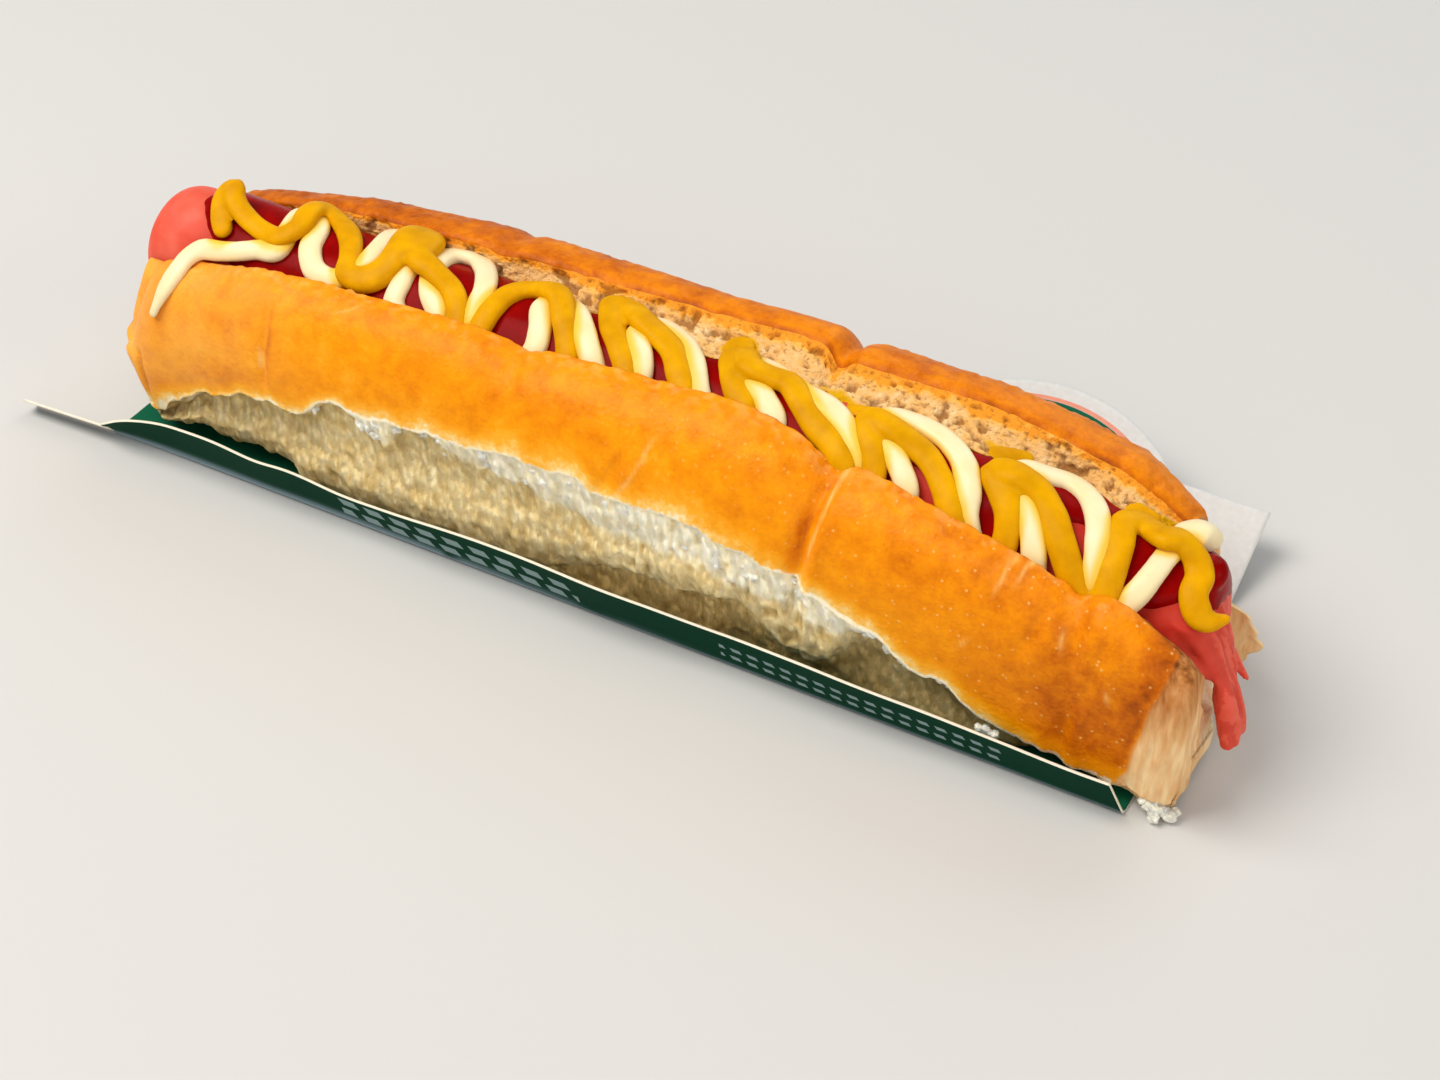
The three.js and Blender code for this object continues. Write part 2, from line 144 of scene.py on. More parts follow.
# The white crumb still clinging under the crust's edge, and how far the rest lies behind it.
crumb_ledge = through(
    (-115, 0.4), (-62, 0.5), (-58, 1.2), (-54.7, 3.1), (-52, 5), (-49.6, 5.6), (-48, 0.6), (-40, 0.5),
    (-38, 1.6), (-34, 3.3), (-30, 4.2), (-20, 5.6), (-12, 7.4), (0, 8), (44, 6), (49, 2), (56, 0.8),
    (100, 0.5))
crumb_sunk = through(
    (-115, 2), (-106, 3.2), (-90, 3.6), (-74, 3.2), (-62, 2.2), (-50, 2), (-44, 2.4), (-38, 1.6), (-30, 1),
    (-14, 0.4), (0, 0), (30, -0.3), (44, 0), (50, 2.6), (60, 4), (92, 4.2), (109, 3))
crumb_bulge_y = through(
    (-115, -25), (-105, -26), (-76, -26.4), (-68, -28.4), (-20, -28.8), (40, -28.6), (50, -26), (60, -25),
    (109, -25.5))
crumb_foot_y = through(
    (-115, -19), (-80, -19.5), (-66, -25), (-30, -26), (-12, -26.4), (40, -26.2), (52, -25.5), (70, -25),
    (78, -23.5), (90, -22), (98, -24), (109, -26))
near_belly_y = through((-115, -26.5), (-90, -27.5), (-40, -28), (60, -28.5), (110, -28))
far_belly_y = through(
    (-115, 22), (-97, 23.5), (-80, 25.5), (-47, 27), (60, 26.5), (80, 25.3), (97, 21.5), (110, 17))
far_top_z = through(
    (-115, 38), (-97, 42), (-80, 45.3), (-60, 47.5), (-45, 48.2), (0, 47.4), (50, 47.4), (67, 46),
    (80, 43.5), (90, 41.5), (110, 36))
far_rim_y = through(
    (-115, 7), (-82, 7.5), (-55, 6), (-30, 7.5), (7, 10), (19, 11), (31, 8), (60, 8.5), (76, 7.5), (97, 7),
    (110, 6))
axis_y = through((-115, -2.5), (0, -3), (70, -3.5), (110, -4.5))
axis_z = through((-115, 32.5), (0, 33), (40, 32.4), (70, 30), (90, 27.5), (110, 23))


def around_axis(x, degrees, radius):
    """Places round the sausage's axis."""
    angle = np.radians(degrees)
    return xyz(x, axis_y(x) + radius * np.sin(angle), axis_z(x) + radius * np.cos(angle))


# ---- Meshes ----
def ring_skin(rings):
    """Points and faces of a closed skin over rings [rows, columns, 3], its two ends filled."""
    rows, columns = rings.shape[:2]
    row = np.arange(rows - 1)[:, None] * columns
    here = np.arange(columns)[None, :]
    after = (here + 1) % columns
    quads = np.stack([row + here, row + after, row + columns + after, row + columns + here], axis=-1)
    last = (rows - 1) * columns
    ends = [list(range(columns))[::-1], list(range(last, last + columns))]
    return rings.reshape(-1, 3), quads.reshape(-1, 4).tolist() + ends


def unit_ball(sides, rings, reach):
    """Rings of a ball of radius 1, from reach half-turns below its middle to as far above."""
    turn = np.arange(sides) / sides * 2 * math.pi
    up = np.linspace(-reach, reach, rings)[:, None] * math.pi
    return xyz(np.cos(up) * np.cos(turn), np.cos(up) * np.sin(turn), np.sin(up))


def merge(parts):
    """Several (points, faces) as one."""
    points, faces, first = [], [], 0
    for part_points, part_faces in parts:
        points.append(part_points)
        faces += [[v + first for v in face] for face in part_faces]
        first += len(part_points)
    return np.concatenate(points), faces


def set_mask(mesh, name, values):
    """Keeps a number for each vertex, for the mesh's materials to read."""
    layer = mesh.attributes.new(name, "FLOAT", "POINT")
    layer.data.foreach_set("value", np.asarray(values, np.float32).ravel())


def mesh_object(name, points, faces, materials, masks=None, slots=None):
    """A smooth-shaded mesh object from points in millimetres, with masks for its materials to read."""
    mesh = bpy.data.meshes.new(name)
    mesh.from_pydata((np.asarray(points) * MM).tolist(), [], faces)
    for mask_name, values in (masks or {}).items():
        set_mask(mesh, mask_name, values)
    for made in materials:
        mesh.materials.append(made)
    if slots is not None:
        mesh.polygons.foreach_set("material_index", np.asarray(slots, np.int32))
    mesh.shade_smooth()
    obj = bpy.data.objects.new(name, mesh)
    bpy.context.scene.collection.objects.link(obj)
    return obj


def fused(name, parts, made, voxel, smoothing):
    """Overlapping closed parts remeshed into one skin with voxels of that size, then relaxed."""
    obj = mesh_object(name, *merge(parts), [made])
    remesh = obj.modifiers.new("remesh", "REMESH")
    remesh.mode = "VOXEL"
    remesh.voxel_size = voxel * MM
    relax = obj.modifiers.new("relax", "SMOOTH")
    relax.factor = 0.5
    relax.iterations = smoothing
    evaluated = obj.evaluated_get(bpy.context.evaluated_depsgraph_get())
    mesh = bpy.data.meshes.new_from_object(evaluated)
    obj.modifiers.clear()
    old = obj.data
    obj.data = mesh
    bpy.data.meshes.remove(old)
    mesh.name = name
    mesh.materials.clear()
    mesh.materials.append(made)
    mesh.shade_smooth()
    return obj


def own(obj, slot, *nodes):
    """Rides on the one body and stands for the nodes it replaces. Its slot is not used."""
    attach(obj, "root")
    if nodes:
        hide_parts(*nodes)


def moved_points(obj, shift):
    """Moves an object's vertices by shift(points, normals), all in millimetres."""
    mesh = obj.data
    count = len(mesh.vertices) * 3
    flat, normals = np.empty(count, np.float32), np.empty(count, np.float32)
    mesh.vertices.foreach_get("co", flat)
    mesh.vertex_normals.foreach_get("vector", normals)
    points, normals = flat.reshape(-1, 3) / MM, normals.reshape(-1, 3)
    points = points + shift(points, normals)
    mesh.vertices.foreach_set("co", (points * MM).astype(np.float32).ravel())
    mesh.update()


def even(paths, count):
    """Each row's open path of points, spaced evenly along its length."""
    lengths = np.linalg.norm(np.diff(paths, axis=1), axis=2)
    along = np.concatenate([np.zeros((len(paths), 1)), np.cumsum(lengths, axis=1)], axis=1)
    places = np.empty((len(paths), count, paths.shape[2]))
    for row, (s, path) in enumerate(zip(along, paths)):
        t = np.linspace(0, s[-1], count)
        for axis in range(paths.shape[2]):
            places[row, :, axis] = np.interp(t, s, path[:, axis])
    return places


# ---- Materials ----
def srgb(code):
    """A hex colour as linear red, green, blue and alpha."""
    values = [int(code[i:i + 2], 16) / 255 for i in (1, 3, 5)]
    return [v / 12.92 if v <= 0.04045 else ((v + 0.055) / 1.055) ** 2.4 for v in values] + [1.0]


def add(tree, kind, links=None, stops=None, **settings):
    """Adds a node; links gives its inputs by name or number, as sockets or as plain values."""
    node = tree.nodes.new(kind)
    for name, value in settings.items():
        setattr(node, name, value)
    for key, value in (links or {}).items():
        if isinstance(value, bpy.types.NodeSocket):
            tree.links.new(value, node.inputs[key])
        else:
            node.inputs[key].default_value = value
    if stops:
        elements = node.color_ramp.elements
        for element, (position, code) in zip(elements, stops):
            element.position, element.color = position, srgb(code)
        for position, code in stops[2:]:
            elements.new(position).color = srgb(code)
    return node


def material(name, **sockets):
    """A new material's node tree, its shader and its place in the object's own millimetres."""
    made = bpy.data.materials.new(name)
    made.use_nodes = True
    tree = made.node_tree
    shader = tree.nodes["Principled BSDF"]
    shader.inputs["Subsurface Scale"].default_value = 1.0
    for key, value in sockets.items():
        shader.inputs[key.replace("_", " ")].default_value = value
    place = add(tree, "ShaderNodeTexCoord").outputs["Object"]
    return made, tree, shader, vector_maths(tree, "MULTIPLY", place, (1 / MM,) * 3)


def maths(tree, operation, *values, kind="ShaderNodeMath"):
    return add(tree, kind, dict(enumerate(values)), operation=operation).outputs[0]


def vector_maths(tree, operation, *values):
    return maths(tree, operation, *values, kind="ShaderNodeVectorMath")


def heaped(tree, level, *terms):
    """A level, plus each term's value times its weight."""
    for value, weight in terms:
        level = maths(tree, "MULTIPLY_ADD", value, weight, level)
    return level


def mask(tree, name):
    """A mask that the mesh keeps; 0 on a mesh without it."""
    return add(tree, "ShaderNodeAttribute", attribute_name=name).outputs["Fac"]


def stretched(tree, place, level, upright):
    """A place scaled by one number on the level and another upright."""
    return add(tree, "ShaderNodeMapping", {"Vector": place, "Scale": (level, level, upright)}).outputs[0]


def noise(tree, place, scale, detail, roughness=0.5):
    inputs = {"Vector": place, "Scale": scale, "Detail": detail, "Roughness": roughness}
    return add(tree, "ShaderNodeTexNoise", inputs).outputs["Fac"]


def cells(tree, place, scale, feature="F1"):
    """The distance to the nearest of many scattered points."""
    inputs = {"Vector": place, "Scale": scale}
    return add(tree, "ShaderNodeTexVoronoi", inputs, feature=feature).outputs["Distance"]


def ranged(tree, value, low, high, at_low=0.0, at_high=1.0):
    """Runs from at_low to at_high as the value goes from low to high."""
    inputs = {"Value": value, "From Min": low, "From Max": high, "To Min": at_low, "To Max": at_high}
    return add(tree, "ShaderNodeMapRange", inputs).outputs["Result"]


def ramp(tree, value, *stops):
    """Colours by value: the first stop, the last one, then those between."""
    return add(tree, "ShaderNodeValToRGB", {"Fac": value}, stops=stops).outputs["Color"]


def tint(tree, colour, amount, other):
    """A colour turned towards another by an amount from 0 to 1."""
    inputs = {"Factor": amount, "A": colour, "B": other}
    return add(tree, "ShaderNodeMix", inputs, data_type="RGBA").outputs["Result"]


def dress(tree, shader, colour, height, strength, distance):
    """Gives the shader its colour, and a bump whose distance is in metres."""
    bump = add(tree, "ShaderNodeBump", {"Height": height, "Strength": strength, "Distance": distance})
    tree.links.new(bump.outputs["Normal"], shader.inputs["Normal"])
    tree.links.new(colour, shader.inputs["Base Color"])


def egg_washed_crust():
    """Soft roll crust, brushed with egg and baked: satin and golden, and dull tan fibres where it was
    pulled off its neighbour."""
    made, tree, shader, place = material(
        "egg_washed_crust", IOR=1.45, Specular_IOR_Level=0.13, Subsurface_Weight=0.08,
        Subsurface_Radius=(0.002, 0.0008, 0.0002))
    # The darkness level also carries painted shade along the creases and in the left end's fold.
    bake_and_shade = mask(tree, "bake_and_shade")
    patches, blotches = noise(tree, place, 0.09, 3.0), noise(tree, place, 0.32, 7.0, 0.55)
    skin = noise(tree, place, 1.3, 5.0)
    level = heaped(tree, bake_and_shade, (patches, 0.3), (blotches, 0.44), (skin, 0.16))
    level = maths(tree, "SUBTRACT", level, 0.435)
    colour = ramp(tree, level, (0.0, "#FBEBC4"), (1.0, "#64290A"), (0.07, "#FACB70"), (0.18, "#F9AA28"),
                  (0.34, "#F39602"), (0.5, "#E38100"), (0.66, "#C46200"), (0.82, "#944002"))
    # Pale flecks: the cracks, and grains of flour and blisters under half a millimetre that took no wash;
    # and a painted highlight over the crust's left part.
    speck = ranged(tree, cells(tree, place, 0.5), 0.07, 0.18, 0.5, 0.0)
    speck = maths(tree, "MULTIPLY", speck, mask(tree, "speckle"))
    speck = maths(tree, "MAXIMUM", speck, mask(tree, "pale_cracks_and_sheen"))
    colour = tint(tree, colour, speck, srgb("#F6C470"))
    dark_dots = ranged(tree, cells(tree, place, 0.36), 0.03, 0.1, 0.2, 0.0)
    colour = tint(tree, colour, dark_dots, srgb("#8A4A10"))
    # White fibres of crumb that came away with the torn lower edge.
    fringe = noise(tree, stretched(tree, place, 1.6, 0.6), 1.0, 4.0)
    fringe = ranged(tree, maths(tree, "ADD", fringe, mask(tree, "frayed")), 0.95, 1.2)
    colour = tint(tree, colour, fringe, srgb("#F8EACA"))
    # The pulled end.
    fibres = noise(tree, stretched(tree, place, 0.7, 0.14), 1.0, 7.0)
    tan = ramp(tree, heaped(tree, bake_and_shade, (fibres, 0.6)), (0.2, "#F6E2B8"), (1.0, "#6E3A12"),
               (0.38, "#F0CC96"), (0.56, "#E0AA70"), (0.85, "#B4723A"))
    at_end = ranged(tree, heaped(tree, mask(tree, "pulled"), (fibres, 0.8)), 0.7, 1.1)
    colour = tint(tree, colour, at_end, tan)
    tree.links.new(ranged(tree, at_end, 0.0, 1.0, 0.42, 0.9), shader.inputs["Roughness"])
    skin, fibres = heaped(tree, skin, (speck, 0.5)), maths(tree, "MULTIPLY", fibres, 5.0)
    height = add(tree, "ShaderNodeMix", {"Factor": at_end, 2: skin, 3: fibres}).outputs[0]
    dress(tree, shader, colour, height, 0.4, 0.0005)
    return made


def torn_crumb():
    """Soft white crumb pulled apart by hand: matt, springy fibres with small gas holes."""
    made, tree, shader, place = material(
        "torn_crumb", Roughness=0.95, IOR=1.35, Specular_IOR_Level=0.1, Subsurface_Weight=0.25,
        Subsurface_Radius=(0.002, 0.0013, 0.0006))
    fibres = noise(tree, stretched(tree, place, 0.8, 0.36), 1.0, 8.0, 0.74)
    blotches = noise(tree, stretched(tree, place, 0.3, 0.16), 1.0, 4.0)
    tufts = stretched(tree, place, 0.74, 0.4)
    tufts = vector_maths(tree, "ADD", tufts, maths(tree, "MULTIPLY", fibres, 1.2))
    # Tufts of the bump; the colour darkens where they sink: painted shade.
    tufts = cells(tree, tufts, 1.0, "SMOOTH_F1")
    # Its darkness mask carries painted shade under the overhang, in pits and hollows, and painted light on
    # the ledge.
    level = heaped(tree, mask(tree, "deep"), (fibres, 0.5), (tufts, 0.26), (blotches, 0.3))
    colour = ramp(tree, level, (0.12, "#FFF8E4"), (1.0, "#80602F"), (0.3, "#FAECC8"), (0.46, "#EFDBA8"),
                  (0.66, "#D8BA7C"), (0.92, "#A98648"))
    dress(tree, shader, colour, heaped(tree, fibres, (tufts, -0.7)), 1.0, 0.0009)
    return made


def toasted_cut():
    """The sliced face of the roll, toasted on a plate: dry, open-pored, golden at its upper edge."""
    made, tree, shader, place = material(
        "toasted_cut", Roughness=0.88, IOR=1.4, Specular_IOR_Level=0.15, Subsurface_Weight=0.1,
        Subsurface_Radius=(0.002, 0.001, 0.0004))
    level = heaped(tree, mask(tree, "bake_and_shade"), (noise(tree, place, 0.6, 7.0), 0.9))
    colour = ramp(tree, level, (0.2, "#F8E0AE"), (1.0, "#F0982A"), (0.45, "#EDBE7E"), (0.66, "#E8B066"),
                  (0.84, "#F5B658"))
    # Darker in the pores and in the low spots of the fine relief: painted shade.
    fine = noise(tree, place, 1.1, 4.0)
    pits = maths(tree, "MAXIMUM", ranged(tree, fine, 0.32, 0.45, 0.6, 0.0), mask(tree, "pore_shade"))
    colour = tint(tree, colour, pits, srgb("#8A5220"))
    colour = tint(tree, colour, mask(tree, "stain"), srgb("#DDA404"))
    dress(tree, shader, colour, fine, 1.0, 0.0008)
    return made


def frankfurter_skin():
    """A smoked frankfurter's thin casing: salmon pink, slightly waxy, redder where it was dressed."""
    made, tree, shader, place = material(
        "frankfurter_skin", Roughness=0.45, IOR=1.4, Specular_IOR_Level=0.15, Subsurface_Weight=0.25,
        Subsurface_Radius=(0.003, 0.001, 0.0005))
    level = heaped(tree, mask(tree, "red"), (noise(tree, place, 0.16, 4.0), 0.5))
    colour = ramp(tree, level, (0.0, "#F0846C"), (1.0, "#9A1A12"), (0.12, "#E87460"), (0.35, "#D9543F"),
                  (0.7, "#BC2E20"))
    dress(tree, shader, colour, noise(tree, place, 1.2, 4.0), 0.15, 0.0004)
    return made


def sauce(name, low, high, roughness, scatter, gloss, bump_strength):
    """A squeezed sauce: smooth and wet, with light sunk a little way in, its own fine grain, and yellow
    where mustard runs into it."""
    made, tree, shader, place = material(
        name, Roughness=roughness, IOR=1.42, Specular_IOR_Level=gloss, Subsurface_Weight=0.3,
        Subsurface_Radius=scatter)
    colour = ramp(tree, noise(tree, place, 0.2, 4.0), (0.3, low), (0.7, high))
    colour = tint(tree, colour, mask(tree, "tinged"), srgb("#F0BC20"))
    dress(tree, shader, colour, noise(tree, place, 1.2, 3.0), bump_strength, 0.0004)
    return made


def ketchup_sauce():
    """Ketchup: deep tomato red, glossy and half clear."""
    return sauce("ketchup_sauce", "#7A0202", "#940603", 0.22, (0.002, 0.0003, 0.0002), 0.035, 0.05)


def mustard_sauce():
    """Mild yellow mustard: opaque, smooth, with ground seed too fine to see as grains."""
    return sauce("mustard_sauce", "#C88A00", "#E0A200", 0.4, (0.0015, 0.0009, 0.0001), 0.06, 0.08)


def mayonnaise_sauce():
    """Mayonnaise: a pale egg-yellow emulsion, opaque and glossy."""
    return sauce("mayonnaise_sauce", "#EAD7A2", "#EFDFB6", 0.3, (0.002, 0.0017, 0.0012), 0.25, 0.04)


def stripe(tree, value, centre, half_width):
    """1 where value lies within half_width of centre, and 0 elsewhere."""
    off = maths(tree, "ABSOLUTE", maths(tree, "SUBTRACT", value, centre))
    return maths(tree, "LESS_THAN", off, half_width)


def folding_boxboard(name, print_on, roughness=0.55):
    """Folding boxboard: a matt sheet of pressed paper, with the faint cloudiness of its fibres. Its ink is
    print_on(tree, clouds, along, across), where across is the distance over the sheet from its fold."""
    made, tree, shader, place = material(name, Roughness=roughness, IOR=1.5, Specular_IOR_Level=0.04)
    paper = noise(tree, place, 0.8, 5.0)
    clouds = ranged(tree, paper, 0.0, 1.0, 0.88, 1.12)
    along = add(tree, "ShaderNodeSeparateXYZ", {0: place}).outputs["X"]
    dress(tree, shader, print_on(tree, clouds, along, mask(tree, "across")), paper, 0.1, 0.0002)
    return made


def unprinted_board():
    """The board's own off-white, at its cut edges."""
    return folding_boxboard("unprinted_board", lambda tree, clouds, *place: vector_maths(
        tree, "MULTIPLY", srgb("#E6DFCB")[:3], clouds))


def outside_print():
    """Bottle-green ink under a thin satin varnish, with plain pale dashes, and a painted bluish sheen along
    the fold where the ink is also rubbed pale.
    """
    def print_on(tree, clouds, along, across):
        pale = 0.0
        leaning = heaped(tree, along, (across, 0.5))
        for start, stop, pitch, half_length, rows in PALE_DASHES:
            zone = stripe(tree, along, (start + stop) / 2, (stop - start) / 2)
            for row, height in enumerate(rows):
                cell = maths(tree, "WRAP", maths(tree, "ADD", leaning, row * pitch * 0.5), 0.0, pitch)
                bar = stripe(tree, cell, pitch / 2, half_length)
                bar = maths(tree, "MULTIPLY", bar, stripe(tree, across, height, half_length * 0.5))
                pale = maths(tree, "MAXIMUM", maths(tree, "MULTIPLY", bar, zone), pale)
        colour = vector_maths(tree, "MULTIPLY", srgb("#013422")[:3], clouds)
        colour = tint(tree, colour, maths(tree, "MULTIPLY", pale, 0.55), srgb("#A9BFC0"))
        # A bluish-grey sheen along the fold: painted reflection, where the ink is also rubbed pale.
        return tint(tree, colour, mask(tree, "fold_sheen_and_wear"), srgb("#8FA3AC"))

    return folding_boxboard("outside_print", print_on, 0.6)


def inside_print():
    """The tray's inside: green under the roll, white on the raised panel, with a ringed green disc."""
    def print_on(tree, clouds, along, across):
        x, y = maths(tree, "SUBTRACT", along, CARD_TAB_X), maths(tree, "SUBTRACT", across, CARD_TAB_INSET)
        spot = add(tree, "ShaderNodeCombineXYZ", {"X": x, "Y": y}).outputs[0]
        radius = add(tree, "ShaderNodeVectorMath", {0: spot}, operation="LENGTH").outputs["Value"]
        disc = maths(tree, "LESS_THAN", radius, DISC_RADIUS)
        green = maths(tree, "MAXIMUM", disc, maths(tree, "LESS_THAN", across, 0.5))
        ring = stripe(tree, radius, DISC_RADIUS + 0.5, 0.45)
        colour = tint(tree, tint(tree, srgb("#CDCDCA"), ring, srgb("#D98F78")), green, srgb("#135A40"))
        return vector_maths(tree, "MULTIPLY", colour, clouds)

    return folding_boxboard("inside_print", print_on)


# ---- Roll ----
STATION = 0.55  # from one section to the next
CAP_RINGS = 12
# The strips round the roll's section, and how many columns of the skin each has.
NEAR_CRUST, TORN_SIDE, UNDERSIDE, FAR_CRUST, CUT_FACE, BED, NEAR_INSIDE = range(7)
COLUMNS = (74, 64, 8, 42, 30, 8, 5)
BED_RADIUS = SAUSAGE_RADIUS + 0.7
# The far bottom corner's radius, and how square the near wall's section is: 2 would be an ellipse.
CORNER_RADIUS, ROUNDING = 7, 2.4
# Slots of the roll's materials.
CRUST, CRUMB, CUT = 0, 1, 2
# Mustard on the cut face: x, half-width and share of the way down.
STAINS = (
    (8.5, 4, 0.5), (10, 4, 0.85), (27.5, 3, 0.95), (34, 5, 0.75), (63, 6, 0.85), (91, 5, 0.6), (97, 4, 0.35))
# Short pale cracks in the crust: x, z, half-length, lean.
CRACKS = (
    (74, 37.5, 2.0, 0.3), (77, 38.5, 1.4, 0.5), (86.5, 31, 1.6, -0.1), (5.8, 39, 2.5, 0.5),
    (2.5, 32, 4, 0.5), (96, 24, 1.2, -0.3), (70, 25, 1.0, 0.6), (-79.2, 30, 0.9, 0.1), (-62, 44, 0.7, 3.0))
# The fold where the left end was tucked under: x against height.
left_fold = through((4, -110), (11, -111.2), (18, -112), (23, -112.2), (34, -113))
# How far the left end's near side stands in at a height, on top of its bulge.
left_tuck = through(
    (2, 0), (8, 0.6), (12, 0), (15.5, -0.8), (17.8, -1.3), (19, -1.1), (20, 0.4), (24, 1.3), (30, 2.2),
    (36, 2.6), (46, 2.6))
# Creases in the near wall: x at the rim, lean, half-width, depth, and the heights between which each runs.
CREASES = (
    (38.9, 0.13, 1.5, 1.9, 14, 60), (-78.6, 0.0, 0.8, 0.5, 26, 41), (88.5, 0.0, 1.6, 0.8, 0, 60),
    (83.5, 0.35, 1.2, 0.5, 26, 44), (7.2, 0.6, 1.3, 0.35, 24, 42), (-30, -0.1, 2.5, 0.35, 26, 44),
    (96, 0.3, 1.5, 0.4, 10, 34))
# Creases over the far wall: x, half-width, depth.
FAR_CREASES = ((27.0, 2.4, 2.8), (-44.5, 2.5, 0.9))
# How far the right end stands out or back, across the roll.
right_end_slant = through(
    (-30, 0), (-24, 0.8), (-16, 1.4), (-10, 1.0), (-5, -0.6), (0, -3), (6, -6.2), (12, -8.8), (26, -13))


def end_inset(x):
    """How far in the roll's outline comes as it rounds towards its ends."""
    left = np.clip(1 - (x - LEFT) / 9, 0, 1)
    right = np.clip(1 - (RIGHT - x) / 2.5, 0, 1)
    return 5 * (1 - np.sqrt(1 - left ** 2)) + 1.2 * right


def lean_of_ends(x, y, z):
    """How far along X the ends move: the left one bulges, and the right one slants back at the far wall."""
    left = np.clip(1 - (x - LEFT) / 14, 0, None)
    right = np.clip(1 - (RIGHT - x) / 26, 0, None)
    far_up = smoothstep(y, -2, 7) * smoothstep(z, 14, 32)
    near_up = smoothstep(-y, 12, 20) * smoothstep(z, 26, 38)
    ragged = right ** 4 * smoothstep(y, -14, -6) * 1.1 * rough(xyz(x * 0.3, y, z), 3.5, 2, 46)
    bulge = left * (3 - 5 * bell(z, 18, 16)) + np.minimum(left, 1) * left_tuck(z) * smoothstep(-y, 4, 14)
    return bulge + right * (np.minimum(right_end_slant(y), -12 * far_up) - 2.5 * near_up) + ragged


def near_crease(x, z):
    """Depth of the creases in the near wall at a station and height."""
    total = np.zeros(np.broadcast_shapes(x.shape, z.shape))
    for centre, lean, width, depth, low, high in CREASES:
        off = x + (near_rim_z(x) - z) * lean - centre
        along = smoothstep(z, low - 3, low + 3) * smoothstep(-z, -high - 3, -high + 3)
        total += along * depth * (bell(off, 0, width) - 0.35 * bell(off, 2.2 * width, width))
    return total


def torn_height(x):
    """Height of the crust's torn lower edge, with its ragged bits."""
    ragged = 0.7 * along_x(x, 4.5, 2, 11) + 0.5 * along_x(x, 1.5, 2, 12)
    fade = smoothstep(x, LEFT, LEFT + 12) * smoothstep(RIGHT - x, 0, 10)
    return torn_edge_z(x) + ragged * (0.35 + 0.65 * fade)


